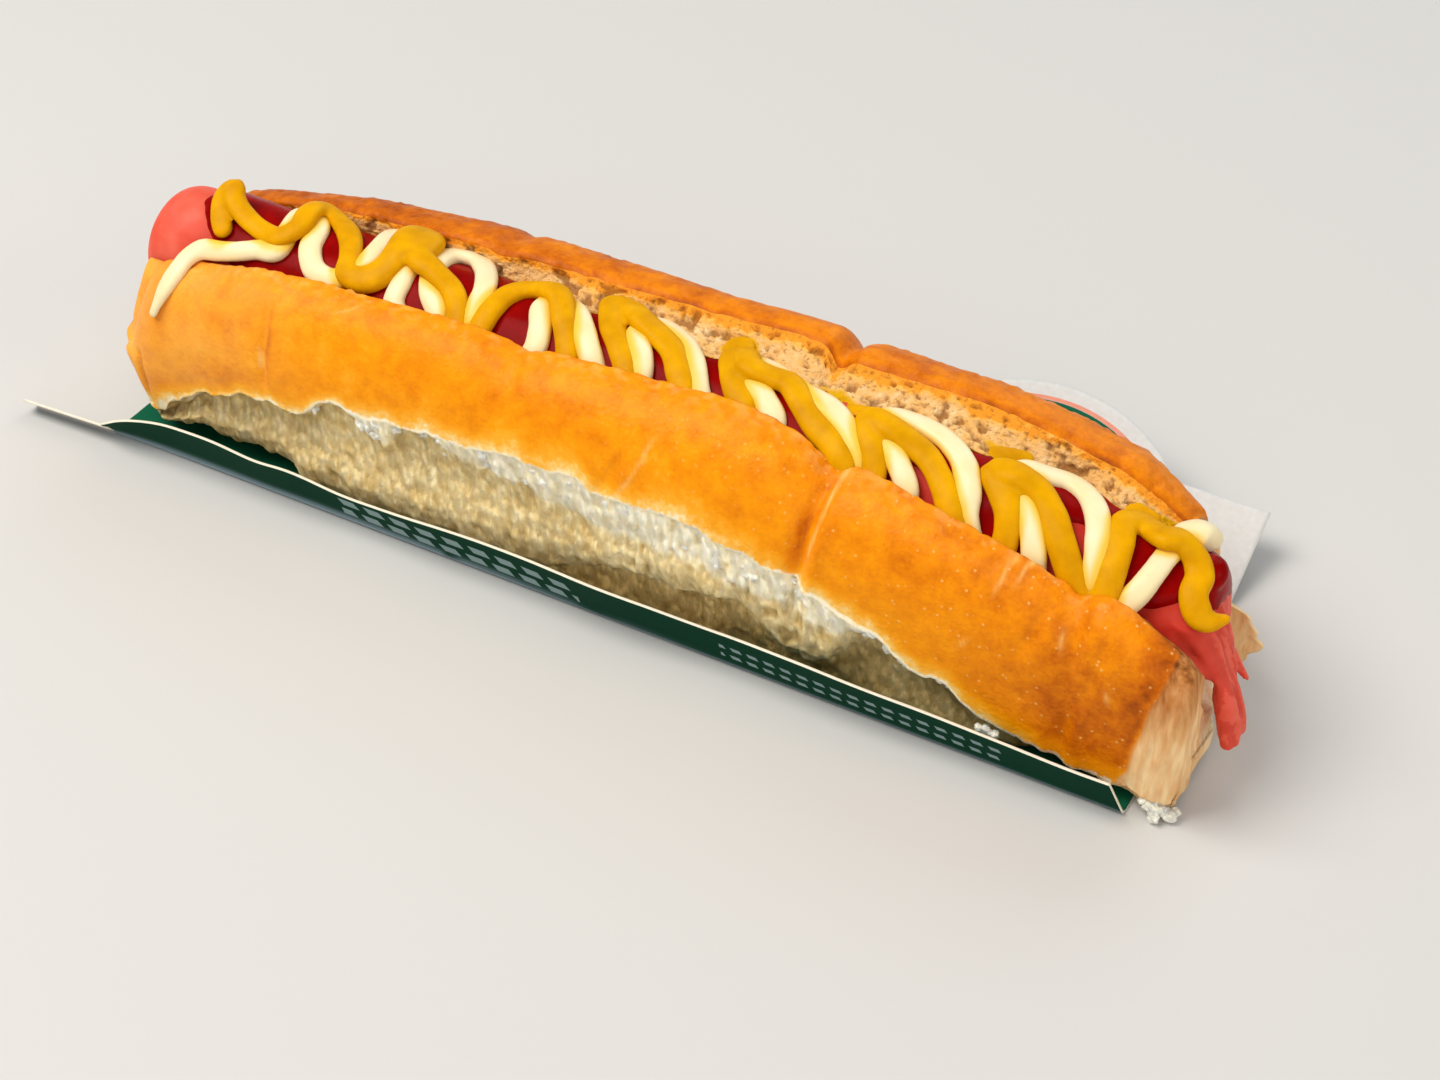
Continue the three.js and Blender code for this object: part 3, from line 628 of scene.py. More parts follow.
def section_strips(x):
    """The roll's section at stations x as seven strips of (y, z), anticlockwise seen from +X."""
    inset = end_inset(x)[:, None]
    column = x[:, None]
    belly = near_belly_y(column) + inset
    rim_y = near_rim_y(column)
    rim_z = near_rim_z(column) - inset * 0.25
    torn = np.maximum(torn_height(column), FLOOR + 1.5 + inset * 0.3)
    floor = FLOOR + inset * 0.25

    # The near crust, from the rim down to its torn edge.
    quarter = np.linspace(0, math.pi / 2, 60)[None, :]
    z = rim_z - (rim_z - torn) * (1 - np.cos(quarter))
    rise = np.clip((z - BELLY_HEIGHT) / (rim_z - BELLY_HEIGHT), 0, 1)
    drop = np.clip((BELLY_HEIGHT - z) / BELLY_HEIGHT, 0, 1)
    out = (1 - rise ** ROUNDING) ** (1 / ROUNDING)
    dent = near_crease(column, z) * np.minimum(out * 2, 1)
    crust = np.stack([rim_y + (belly - rim_y) * out * (1 - 0.09 * drop ** 2) + dent, z], axis=-1)

    # The torn crumb: a ledge under the crust, a bulging face, an overhang and a recess behind it.
    fall = torn - floor
    low = np.minimum(overhang_z(column) + 0.7 * along_x(column, 2.4, 2, 25), torn - 1.2)
    low = np.maximum(low, floor + fall * 0.12)
    foot = crumb_foot_y(column) + inset
    lip = crust[:, -1, 0][:, None]
    behind = lip + np.minimum(crumb_sunk(column), fall * 0.45) + 0.5 * along_x(column, 9, 2, 21)
    bulge = np.minimum(behind, crumb_bulge_y(column) + inset) + 0.4 * along_x(column, 7, 2, 22)
    recess = np.maximum(foot - 0.5, bulge + 1.5)
    ledge = np.minimum(crumb_ledge(column) * (1 + 0.3 * along_x(column, 3, 2, 23)), (torn - low) * 0.4)
    under = torn - ledge - 0.2 - 0.3 * np.maximum(behind - lip, 0)
    middle = np.minimum(torn - (torn - low) * 0.4, under - 0.2)
    crumb_path = [
        (lip, torn), (lip + 0.1, torn - ledge * 0.5), (np.minimum(behind, lip + 0.5), torn - ledge),
        (behind + 0.1, under), (behind, middle),
        (bulge, np.minimum(torn - (torn - low) * 0.7, middle - 0.2)),
        (bulge + 0.5, np.minimum(low + (torn - low) * 0.12, middle - 0.4)),
        (bulge + 1.6, np.minimum(low, middle - 0.6)),
        (recess, low + 0.2), (recess + 0.4, floor + (low - floor) * 0.4),
        (foot, floor + 0.4), (foot + 0.8, floor)]
    crumb = np.stack([np.concatenate(axis, axis=1) for axis in zip(*crumb_path)], axis=-1)

    # The underside, the far corner and the far crust.
    far_dent = sum(depth * bell(column, centre, width) for centre, width, depth in FAR_CREASES)
    far_belly = far_belly_y(column) - inset - 0.6 * far_dent
    top = far_top_z(column) - inset * 0.3 - far_dent
    rim = np.stack([far_rim_y(column) + 0.35 * along_x(column, 2.2, 2, 31), top - 0.7], axis=-1)
    wide = far_belly - 1.5
    bottom_y = foot + 0.8 + np.linspace(0, 1, 12)[None, :] * (wide - CORNER_RADIUS - foot - 0.8)
    bottom = np.stack([bottom_y, np.repeat(floor, 12, axis=1)], axis=-1)
    turn = np.linspace(0, math.pi / 2, 12)[None, :]
    corner = np.stack([wide - CORNER_RADIUS * (1 - np.sin(turn)),
                       floor + CORNER_RADIUS * (1 - np.cos(turn))], axis=-1)
    crown = rim[..., 0] + 1.2
    shoulder = np.stack([crown + (far_belly - crown) * np.cos(quarter) ** 0.9,
                         BELLY_HEIGHT + (top - BELLY_HEIGHT) * np.sin(quarter) ** 0.9], axis=-1)
    far = np.concatenate([corner, shoulder, rim], axis=1)

    # The cut face, the sausage's bed and the near wall's inside.
    ay, az = axis_y(column), axis_z(column)
    start = np.radians(crumb_foot(column))
    finish = 2 * math.pi - np.arccos(np.clip((rim_z - 6 - az) / BED_RADIUS, -0.5, 0.45))
    angle = start + (finish - start) * np.linspace(0, 1, 24)[None, :]
    bed = np.stack([ay + BED_RADIUS * np.sin(angle), az + BED_RADIUS * np.cos(angle)], axis=-1)
    t = np.linspace(0, 1, 24)[None, :, None]
    cut = rim + (bed[:, :1] - rim) * t
    cut[..., 1] -= 0.9 * np.sin(t[..., 0] * math.pi)
    near_rim = np.stack([rim_y, rim_z], axis=-1)
    inner = bed[:, -1:] + (near_rim - bed[:, -1:]) * t
    inner[..., 0] += 0.5 * np.sin(t[..., 0] * math.pi)
    paths = (crust, crumb, bottom, far, cut, bed, inner)
    return [even(path, count + 1)[:, :-1] for path, count in zip(paths, COLUMNS)]


def end_cap(section, x_end, outward, bulge):
    """Rings that close an end: each point of its section moves to the middle of the roll's wall."""
    ay, az = float(axis_y(x_end)), float(axis_z(x_end))
    dy, dz = section[:, 0] - ay, section[:, 1] - az
    angle = np.mod(np.arctan2(dy, dz), 2 * math.pi)
    radius = np.hypot(dy, dz)
    outer = sum(COLUMNS[:CUT_FACE])
    by_angle = [np.argsort(angle[:outer]), outer + np.argsort(angle[outer:])]
    middle = sum(np.interp(angle, angle[order], radius[order]) for order in by_angle) / 2
    target = np.stack([ay + middle * np.sin(angle), az + middle * np.cos(angle)], axis=-1)
    rings = []
    for step in range(1, CAP_RINGS + 1):
        t = 0.97 * step / CAP_RINGS
        flat = section + (target - section) * t
        x = x_end + lean_of_ends(x_end, flat[:, 0], flat[:, 1]) + outward * bulge * math.sin(t * math.pi / 2)
        rings.append(np.column_stack([x, flat]))
    return np.array(rings)


def grid_normals(grid):
    """Unit normals at the points of a grid whose rows are rings."""
    across = np.roll(grid, -1, axis=1) - np.roll(grid, 1, axis=1)
    normals = np.cross(across, np.gradient(grid, axis=0))
    return normals / np.maximum(np.linalg.norm(normals, axis=2, keepdims=True), 1e-9)


def roll():
    """The roll as one closed skin, with its relief and its materials' masks; then its loose pieces."""
    x = np.linspace(LEFT, RIGHT, int((RIGHT - LEFT) / STATION) + 1)
    section = np.concatenate(section_strips(x), axis=1)
    body = np.concatenate([np.repeat(x[:, None, None], section.shape[1], axis=1), section], axis=2)
    body[..., 0] += lean_of_ends(body[..., 0], section[..., 0], section[..., 1])
    left_cap = end_cap(section[0], LEFT, -1, 3.5)[::-1]
    right_cap = end_cap(section[-1], RIGHT, 1, 0.2)
    grid = np.concatenate([left_cap, body, right_cap])
    rows, columns = grid.shape[:2]

    region = np.broadcast_to(np.repeat(np.arange(len(COLUMNS)), COLUMNS), (rows, columns))
    row = np.arange(rows)[:, None]
    place = grid.copy()
    px, py, pz = np.moveaxis(place, -1, 0)
    end_line = 98.4 + 0.2 * pz + 0.9 * lumps(place, 5, 45)
    last = len(left_cap) + len(body)
    on_right_end = smoothstep(px - end_line, -1.2, 1.6) * (py < 0) * (region <= TORN_SIDE)
    on_right_end = np.maximum(on_right_end, smoothstep(row, last - 4, last + 1))
    on_right_end = np.maximum(on_right_end, smoothstep(px, 94, 97) * (region >= BED))
    torn = torn_height(px[:, :1])
    rim = near_rim_z(px)
    height = np.clip((pz - torn) / (rim - torn), 0, 1)
    above_torn = np.clip(pz - torn, 0, None)
    below_rim = np.clip(rim - pz, 0, None)
    folded = bell(px - left_fold(pz), 0, 0.7) * smoothstep(-pz, -22, -19)

    # Relief: a gently uneven crust, a fluffy torn crumb and an open-pored cut face.
    skin = (0.35 * lumps(place, 22, 1) + 0.12 * rough(place, 6, 2, 2) + 0.04 * lumps(place, 1.6, 4)
            + 0.3 * lumps(place, 1.4, 5) * np.exp(-below_rim / 0.8) - 1.1 * folded * (py < -12))
    streaked = place * np.array([1, 1, 0.4])
    frayed = rough(place * np.array([1, 1, 0.5]), 2.4, 3, 24)
    below_ledge = torn - pz - crumb_ledge(px)
    on_ledge = smoothstep(-below_ledge + 1.3 * frayed, -1.2, 0.9)
    pits = (0.5 + 0.5 * smoothstep(px, -20, 10)) * smoothstep(pz - overhang_z(px), -1, 2)
    pits = pits * smoothstep(rough(streaked, 1.6, 2, 44), 0.3, 0.8)
    fluff = 0.4 * rough(place, 5, 3, 3) + 0.5 * rough(streaked, 2.1, 3, 6) + 0.15 - 0.6 * pits
    down_torn, down_cut = [(np.arange(columns)[None, :] - sum(COLUMNS[:strip])) / COLUMNS[strip]
                           for strip in (TORN_SIDE, CUT_FACE)]
    deep_in = smoothstep(down_torn, 0.02, 0.12)
    holes = lumps(place, 1.5, 41) + 0.6 * lumps(place, 0.8, 42) + 0.3 * lumps(place, 5, 43)
    wide_holes = lumps(place, 2.7, 40) + 0.35 * lumps(place, 1, 39)
    holes = np.maximum(smoothstep(holes, 0.3, 0.65), smoothstep(wide_holes, 0.56, 0.74))
    on_cut = (region == CUT_FACE) * smoothstep(down_cut, 0.0, 0.12)
    crust_like = np.isin(region, (NEAR_CRUST, FAR_CRUST)) * (1 - on_right_end)
    pulled = 0.9 * rough(place * np.array([1, 1, 0.22]), 4, 3, 8) * on_right_end
    relief = (crust_like * skin + (region == TORN_SIDE) * deep_in * fluff * (1 - on_right_end)
              - on_cut * (0.8 * holes - 0.35 * rough(place, 2.4, 3, 9)) + pulled)
    grid = grid + grid_normals(grid) * relief[..., None]
    grid[..., 2] = np.maximum(grid[..., 2], FLOOR - 0.1)

    # How well baked: pale above the torn edge and at the left, browner at the right end and along the cut's
    # upper edge. Darker along the creases and in the left end's fold: painted shade.
    right_side = smoothstep(px, 10, 100)
    leaning = px + (rim - pz) * 0.13
    band_top = 6.5 + 2.6 * lumps(place, 12, 50) - 1.5 * right_side - 3 * smoothstep(-px, 50, 75)
    band = 0.14 * smoothstep(above_torn, 0.0, 1.0) + 0.86 * smoothstep(above_torn, 0.2, band_top)
    near_bake_and_shade = (
        0.02 + 0.34 * band + 0.06 * smoothstep(height, 0.3, 0.8) + 0.09 * right_side * band
        - 0.02 * smoothstep(-px, 50, 100) * band
        + 0.22 * bell(px, 94, 13) * bell(pz, 14, 11)
        + 0.22 * smoothstep(px - end_line, -7, 0) * smoothstep(pz, 8, 30)
        # Painted shade along the creases near x 38 and x -77.
        + 0.2 * bell(leaning, 38.4, 0.8) * smoothstep(rim - pz, 3, 8)
        + 0.24 * bell(px, -77.2 + 0.5 * lumps(place, 4, 64), 0.7) * bell(pz, 34, 6)
        + 0.12 * smoothstep(-px, 60, 90) * bell(pz, torn + 4, 2.5)
        # Lighter past the left end's fold, with painted shade in the fold itself.
        - 0.1 * smoothstep(left_fold(pz) - px, -0.5, 1.5) + 0.25 * folded)
    far_bake = 0.41 + 0.14 * smoothstep(pz, 12, 45) + 0.12 * smoothstep(-px, 0, 80) * smoothstep(pz, 22, 42)
    cut_edge = down_cut + 0.1 * rough(place, 2.5, 3, 52)
    cut_bake = 0.6 * (1 - smoothstep(cut_edge, 0.08, 0.4)) + 0.14 * rough(place, 5, 2, 51) + 0.08
    bake_and_shade = np.select([region <= TORN_SIDE, region == FAR_CRUST, region == CUT_FACE, region >= BED],
                     [near_bake_and_shade, far_bake, cut_bake, 0.1], 0.2)
    end_bake = 0.16 + 0.5 * smoothstep(pz, 15, 37) - 0.2 * smoothstep(py, -13, -8)
    bake_and_shade = bake_and_shade * (1 - on_right_end) + end_bake * on_right_end

    # How dark the torn crumb is: painted shade below the overhang, behind the ledge, in the pits, under the
    # crust's edge at the right end and a little towards the left; lighter on the ledge, whose crumb is
    # whiter, with painted light too.
    below = smoothstep(overhang_z(px) - pz + frayed, -1.5, 2.5)
    # Painted shade just below the ledge, where the crumb lies further back.
    behind = smoothstep(crumb_sunk(px), 1, 4) * bell(below_ledge, 0.5, 3) * (1 - on_ledge)
    hollow_shade = smoothstep(px, 76, 86) * smoothstep(torn - pz, 0.3, 1.5)
    deep = (0.05 + 0.24 * below * (1 - 0.5 * smoothstep(px, 48, 56)) + 0.14 * behind
            + 0.02 * smoothstep(-px, 30, 80) - 0.3 * on_ledge + 0.4 * hollow_shade + 0.16 * pits)
    fringed = smoothstep(px, 48, 54) * (1 - smoothstep(torn - pz + frayed, 1.5, 4.5))
    deep = np.where(region <= TORN_SIDE, deep - 0.22 * fringed, 0.1)

    # Pale cracks, a painted highlight over the crust's left part, and mustard that ran into the cut face.
    pale_cracks_and_sheen = (
        bell(leaning, 40.5, 0.35) * smoothstep(pz, 26, 32) * (0.6 + 0.4 * lumps(place, 2, 61))
        + 0.22 * np.exp(-below_rim / 0.4) * smoothstep(lumps(place, 1.2, 63), 0, 0.4)
        # Paler over the crust's left part: a paler crust there, and a painted highlight.
        + 0.2 * smoothstep(-px, 60, 105) * band * (1 + 0.5 * lumps(place, 5, 65))
        + 0.5 * bell(px, -79, 0.6) * bell(pz, 31, 3) * (lumps(place, 1.5, 66) > 0.2))
    for crack_x, crack_z, length, lean in CRACKS:
        off = px - crack_x - (pz - crack_z) * lean + 0.5 * lumps(place, 2, 62)
        pale_cracks_and_sheen = pale_cracks_and_sheen + 0.5 * bell(off, 0, 0.4) * bell(pz, crack_z, length)
    stain = sum(bell(px, centre, width) * bell(down_cut, down, 0.3) for centre, width, down in STAINS)
    stain = smoothstep(stain + 0.35 * lumps(place, 2.2, 60), 0.62, 0.8) * (region == CUT_FACE)
    stain = stain + 0.75 * (region >= BED) * smoothstep(px, -90, -80) * smoothstep(-px, -92, -86)
    frayed_edge = (1 - smoothstep(above_torn, 0, 1.6)) * (1 - smoothstep(on_right_end, 0, 0.3))
    masks = {
        "bake_and_shade": bake_and_shade, "deep": deep, "pulled": on_right_end, "pore_shade": on_cut * holes * 0.75, "stain": stain,
        "pale_cracks_and_sheen": np.clip(pale_cracks_and_sheen, 0, 1) * (region == NEAR_CRUST),
        "frayed": (region <= TORN_SIDE) * frayed_edge * (0.74 - 0.34 * smoothstep(-px, 60, 80)),
        "speckle": smoothstep(px, -40, 70) * (region == NEAR_CRUST)}

    kind = np.array([CRUST, CRUMB, CRUMB, CRUST, CUT, CUT, CUT])[region]
    pulled_over = (region >= BED) & (px > 96) | (region == TORN_SIDE) & (on_right_end > 0.4)
    kind = np.where((row >= last - 1) | pulled_over, CRUST, kind)
    points, faces = ring_skin(grid)
    slots = np.concatenate([kind[:-1].ravel(), [CRUST, CRUST]])
    made = [egg_washed_crust(), torn_crumb(), toasted_cut()]
    own(mesh_object("roll_bread", points, faces, made, masks, slots), "bread_crust", "roll")
    torn_bits(made[CRUMB])
    torn_flake(made[CRUST])


def crumb_bit(centre, size, seed):
    """A torn bit of crumb: a ragged blob with half-sizes `size` along X, Y and Z."""
    ball = unit_ball(20, 15, 0.48)
    swell = np.clip(1 + 0.45 * rough(ball * 1.3 + seed * 7.3, 0.9, 3, seed), 0.4, 1.7)
    return ring_skin(np.array(centre) + ball * swell[..., None] * np.array(size))


def torn_bits(crumb):
    """Fluff hanging from the crust's torn edge, a tuft at the right and a crumb on the card's lip."""
    rng = np.random.default_rng(12)
    bits = []
    # Where the fluff hangs: from one x to another, and how many bits.
    for start, stop, count in ((-75, -67, 6), (-57, -36, 14), (-34, 47, 20), (50, 70, 12)):
        for x in rng.uniform(start, stop, count):
            size = rng.uniform(0.6, 1.2)
            y, z = section_strips(np.array([x]))[TORN_SIDE][0][rng.integers(2, 12)]
            half_sizes = (size * rng.uniform(0.8, 1.5), size * 0.7, size)
            bits.append(crumb_bit((x, y + 0.35 * size, z), half_sizes, len(bits)))
    for dx, dy, dz, size in (
            (0, 0, 0, 1.7), (1.6, 0.4, -0.5, 1.2), (-1.5, 0.6, 0.6, 1.5), (3.0, 0.2, -1.0, 1.1),
            (0.6, -1.2, -0.9, 1.2), (-0.8, 1.6, 1.2, 1.6), (3.6, 1.4, -0.7, 0.9)):
        bits.append(crumb_bit((106.3 + dx, -27 + dy, 2.4 + dz), (size, size * 0.8, size * 0.8), len(bits)))
    for dx, dz, size in ((0, 0, 1.3), (1.5, -0.1, 1.1), (-1.3, 0.1, 0.9)):
        bits.append(crumb_bit((75.6 + dx, -28.6, 7.2 + dz), (size, 0.8, size * 0.7), len(bits)))
    points, faces = merge(bits)
    masks = {"deep": np.full(len(points), -0.45)}
    own(mesh_object("torn_crumb_bits", points, faces, [crumb], masks), "bread_crumb")


def torn_flake(crust):
    """The ragged end of the far wall's crust, pulled out behind the sausage."""
    outline = through(
        (4.0, 105), (7, 108), (9.5, 109.4), (12, 111.6), (13.4, 110.2), (14.6, 110), (16, 108.6),
        (17.4, 107.8), (19.5, 104))
    z = np.linspace(4.0, 19.5, 44)[:, None]
    t = np.linspace(0, 1, 14)[None, :]
    reach = outline(z) + 0.5 * along_x(z, 1.2, 2, 47) - 98
    x = 98 + reach * t
    y = 12.6 - 2.5 * t ** 2 + 0.5 * rough(xyz(x, 0, z), 4, 2, 48)
    thick = 0.9 * (1 - 0.6 * t) * np.sin(np.clip((z - 3.6) / 16.3, 0, 1) * math.pi) ** 0.4
    near, far = xyz(x, y - thick, z), xyz(x, y + thick, z)
    points, faces = ring_skin(np.concatenate([near, far[:, ::-1]], axis=1))
    masks = {"bake_and_shade": np.full(len(points), 0.06), "pulled": np.ones(len(points))}
    own(mesh_object("torn_flake", points, faces, [crust], masks), "bread_crust")


# ---- Frankfurter ----
def domed(x):
    """The share of its full radius that the sausage has at x, below 1 near its ends."""
    share = 1.0
    for from_end in (x - SAUSAGE_LEFT, SAUSAGE_RIGHT - x):
        share = share * (1 - (1 - np.clip(from_end / SAUSAGE_DOME, 0.003, 1)) ** 3) ** (1 / 3)
    return share


def casing():
    """The sausage itself, gently uneven, with rings closer together at its domed ends."""
    x = np.concatenate([
        SAUSAGE_LEFT + SAUSAGE_DOME * (1 - np.cos(np.linspace(0.02, math.pi / 2, 12, endpoint=False))),
        np.arange(SAUSAGE_LEFT + SAUSAGE_DOME, SAUSAGE_RIGHT - SAUSAGE_DOME),
        SAUSAGE_RIGHT - SAUSAGE_DOME * (1 - np.sin(np.linspace(0, math.pi / 2 - 0.02, 12)))])
    x, degrees = np.meshgrid(x, np.linspace(180, -180, 96, endpoint=False), indexing="ij")
    angle = np.radians(degrees)
    ripple = lumps(xyz(x, SAUSAGE_RADIUS * np.sin(angle), SAUSAGE_RADIUS * np.cos(angle)), 14, 70)
    return ring_skin(around_axis(x, degrees, (SAUSAGE_RADIUS + 0.12 * ripple) * domed(x)))


def hanging(stations, groove=0.0):
    """Torn skin hanging down through stations: x, y, z and the half-widths across Y and along X."""
    along = np.linspace(0, len(stations) - 1, 24)
    x, y, z, wide, thin = [np.interp(along, np.arange(len(stations)), column)[:, None]
                           for column in np.array(stations, float).T]
    angle = np.arange(14) / 14 * 2 * math.pi
    pinch = 1 - groove * bell(np.sin(angle), 0, 0.3)
    return ring_skin(xyz(x + thin * np.cos(angle) * pinch, y + wide * np.sin(angle), z))


def frankfurter():
    """The sausage with its torn right end: a hanging strip, a lobe and a spur."""
    strip = hanging([
        (102.4, -8, 32, 7, 4.2), (106, -8.6, 28.5, 6.2, 3.2), (109, -9.4, 23.5, 4.8, 2.2),
        (110.9, -10.6, 20.2, 3.1, 2.1), (112.4, -11, 15, 3.6, 2.4), (113.7, -11, 8.4, 3.7, 2.1)], groove=0.4)
    lobe = hanging([
        (102, -13, 26, 4.5, 3.5), (106.6, -13.4, 23.5, 3.2, 1.6), (108.6, -12.8, 21.4, 0.7, 0.5)])
    spur = hanging([
        (106.5, -5, 24, 2.6, 2.0), (110.6, -5.6, 20.8, 1.5, 1.3), (113.3, -5.4, 17.6, 0.5, 0.5)])
    obj = fused("frankfurter", [casing(), strip, lobe, spur], frankfurter_skin(), 0.55, 4)
    # Strands of meat that stand out towards the torn end.
    along_strands = np.array([0.3, 1.4, 0.3])
    moved_points(obj, lambda p, n: n * (0.6 * lumps(p * along_strands, 1.7, 71)
                                        * smoothstep(p[:, 0] - p[:, 2] * 0.35, 92, 101))[:, None])
    p = np.array([v.co for v in obj.data.vertices]) / MM
    # Paler towards the torn end: the torn meat's own colour, and partly painted light where the right end is
    # lit.
    torn_end = smoothstep(p[:, 0] - p[:, 2] * 0.5, 80, 98)
    red = 0.05 + 0.35 * smoothstep(p[:, 0], -110, -95) - 0.36 * torn_end
    red = red + 0.2 * torn_end * (rough(p * along_strands, 1.7, 3, 71) < -0.1)
    set_mask(obj.data, "red", red)
    own(obj, "frankfurter", "sausage")


# ---- Sauces ----
# Turns of each sauce: x, degrees round the sausage and, where it isn't 2, height above the casing.
MAYONNAISE = (
    (-90, -37), (-86, -32), (-86.5, -9), (-88, 17), (-82.1, 6), (-79.4, -23), (-76, -39), (-71.3, -41),
    (-67.4, -24), (-67, 3), (-68, 34, 2.6), (-62, 20), (-59.3, 1), (-57.7, -22), (-57, -45), (-52, -62, 1.2),
    (-47.2, -44), (-51.3, -24), (-54, 3), (-54.5, 32, 2.4), (-50, 38, 2.8), (-45.5, 22), (-41.4, -6),
    (-39.5, -36), (-36, -60, 1.2), (-28, -62, 1.2), (-25.5, -44), (-26.4, -25), (-28.6, -5), (-27.5, 8),
    (-22.8, 4), (-18.8, -13), (-15, -31), (-10, -56, 1.2), (-4, -54, 1.2), (-3.6, -36), (-5.4, -21),
    (-8.6, 0), (-7.8, 25, 2.2), (-1.3, 12), (3.4, -6), (6.5, -23), (9, -38), (14, -62, 1.2), (23, -62, 1.2),
    (24, -38), (20.7, -23), (16.4, -10), (14.9, 10), (19.3, 8), (26.7, -4), (32.3, -11), (36.9, -23),
    (40, -40), (44, -72, 1.0), (51, -64, 1.2), (51.2, -49), (48.3, -34), (44, -17), (41.8, 3), (46.2, 10),
    (53, 4), (58.4, -12), (61.2, -31), (63, -54), (68, -78, 1.0), (76, -70, 1.2), (76, -58), (74.1, -40),
    (70.9, -21), (67.8, 6), (71.4, 11), (75.5, 17), (79.8, 9), (83.5, -10), (85.6, -33), (87, -58),
    (89.5, -74, 1.2), (92, -64, 2.2), (94.3, -48), (95.6, -29), (96.4, -9), (97.7, 16, 2.6))
MUSTARD = (
    (-98.2, -36), (-101, -22, 2.3), (-102.4, -6, 4.2), (-101.2, 0, 6.0), (-99.6, -7, 4.6), (-95.5, -15, 2.9),
    (-90, -21), (-86, -22, 2.4), (-83.8, -9, 2.9), (-84.3, 6, 3.5), (-84, 24, 3.5), (-78.9, 19, 2.5),
    (-73.8, 2), (-70.4, -19), (-69, -33), (-64.9, -34, 2.4), (-62, -21, 2.4), (-61.2, -5, 3),
    (-62.4, 18, 3.5), (-62.5, 36, 3.6), (-58.5, 20, 3.6), (-56.5, -3, 3.4), (-51.3, -11, 2.9), (-46.8, -18),
    (-43.7, -33), (-42.3, -48), (-40, -62, 1.2), (-37.8, -48), (-37.3, -25), (-36.6, -5), (-34.5, 11),
    (-30, 10, 3), (-26.3, 5, 3), (-23.1, -11, 2.4), (-20.9, -24), (-18.8, -40), (-17, -58, 1.4),
    (-9, -58, 1.4), (-6, -41), (-9.9, -20), (-14.5, 2), (-17.7, 28, 3.4), (-14.5, 29, 3.5), (-9.5, 10, 3),
    (-4.5, 3, 2.4), (-0.3, -7), (3, -23), (5.8, -38), (8, -58, 1.4), (16, -58, 1.4), (17.8, -36),
    (14.8, -23), (11.9, -8), (9.9, 13), (12, 14, 2.5), (14.8, -2, 2.9), (19.2, -3, 2.4), (22.9, -2),
    (27.1, -15), (31.3, -28), (35.4, -37), (38.5, -47), (41, -66, 1.2), (44.8, -54), (43.4, -34),
    (40.7, -20), (39.6, -6), (43.8, -10, 2.4), (47.7, -13), (52.1, -19), (56.3, -33), (59.2, -47),
    (61.3, -60), (65, -78, 1.0), (70, -66), (69.6, -39), (67.3, -23), (64, -8), (68.7, -9, 3),
    (72.5, -11, 2.5), (76, -22), (79.6, -40), (82.8, -57), (85.3, -70), (87.6, -78, 1.2), (89.6, -64, 2.4),
    (89.3, -44), (88.7, -21), (87.6, -2), (89.2, 8), (91.9, 5), (95.5, -4, 3.4), (97.3, 0, 3.4),
    (100.8, -2, 2.4), (102.6, -13), (102.8, -27), (104.6, -38), (106.8, -39, 1.7), (109.8, -28, 1.4))
# Where the mayonnaise hangs over the near rim, from its tip.
TAIL = (
    (-106.1, -26.4, 31.7), (-105.2, -25.4, 34.2), (-104.3, -23.4, 37), (-103.8, -19.5, 39.4),
    (-103.4, -16.4, 40.8), (-101.8, -14, 41.6), (-98, -13.2, 41.9), (-94, -12.4, 42.6))
# Mustard smeared up the cut face: each smear's width, then its places as x and share of the way down.
SMEARS = ((6.2, ((9.8, 1.0), (8.8, 0.65), (7.8, 0.34))), (6.4, ((37.6, 1.0), (36.2, 0.84), (35.8, 0.7))),
          (3.8, ((60.5, 0.97), (64, 0.93), (68, 0.95))), (4.6, ((85.8, 0.75), (88.5, 0.9), (92.5, 1.0))))
BEAD_WIDTH, BEAD_HEIGHT = 5.0, 2.7


def smooth_path(points, step):
    """A centripetal Catmull-Rom curve through points, sampled evenly."""
    p = np.array(points, float)
    p = np.concatenate([[2 * p[0] - p[1]], p, [2 * p[-1] - p[-2]]])
    samples = []
    for p0, p1, p2, p3 in zip(p, p[1:], p[2:], p[3:]):
        t0 = 0.0
        t1 = t0 + np.linalg.norm(p1 - p0) ** 0.5
        t2 = t1 + np.linalg.norm(p2 - p1) ** 0.5
        t3 = t2 + np.linalg.norm(p3 - p2) ** 0.5
        t = np.linspace(t1, t2, 24, endpoint=False)[:, None]
        a1 = (t1 - t) / (t1 - t0) * p0 + (t - t0) / (t1 - t0) * p1
        a2 = (t2 - t) / (t2 - t1) * p1 + (t - t1) / (t2 - t1) * p2
        a3 = (t3 - t) / (t3 - t2) * p2 + (t - t2) / (t3 - t2) * p3
        b1 = (t2 - t) / (t2 - t0) * a1 + (t - t0) / (t2 - t0) * a2
        b2 = (t3 - t) / (t3 - t1) * a2 + (t - t1) / (t3 - t1) * a3
        samples.append((t2 - t) / (t2 - t1) * b1 + (t - t1) / (t2 - t1) * b2)
    samples = np.concatenate(samples + [p[-2:-1]])
    length = np.linalg.norm(np.diff(samples, axis=0), axis=1).sum()
    return even(samples[None], max(int(length / step), 4))[0]


def radial(path):
    """Unit vectors from the sausage's axis to each point of a path."""
    out = path - around_axis(path[:, 0], 0, 0)
    return out / np.linalg.norm(out, axis=1, keepdims=True)


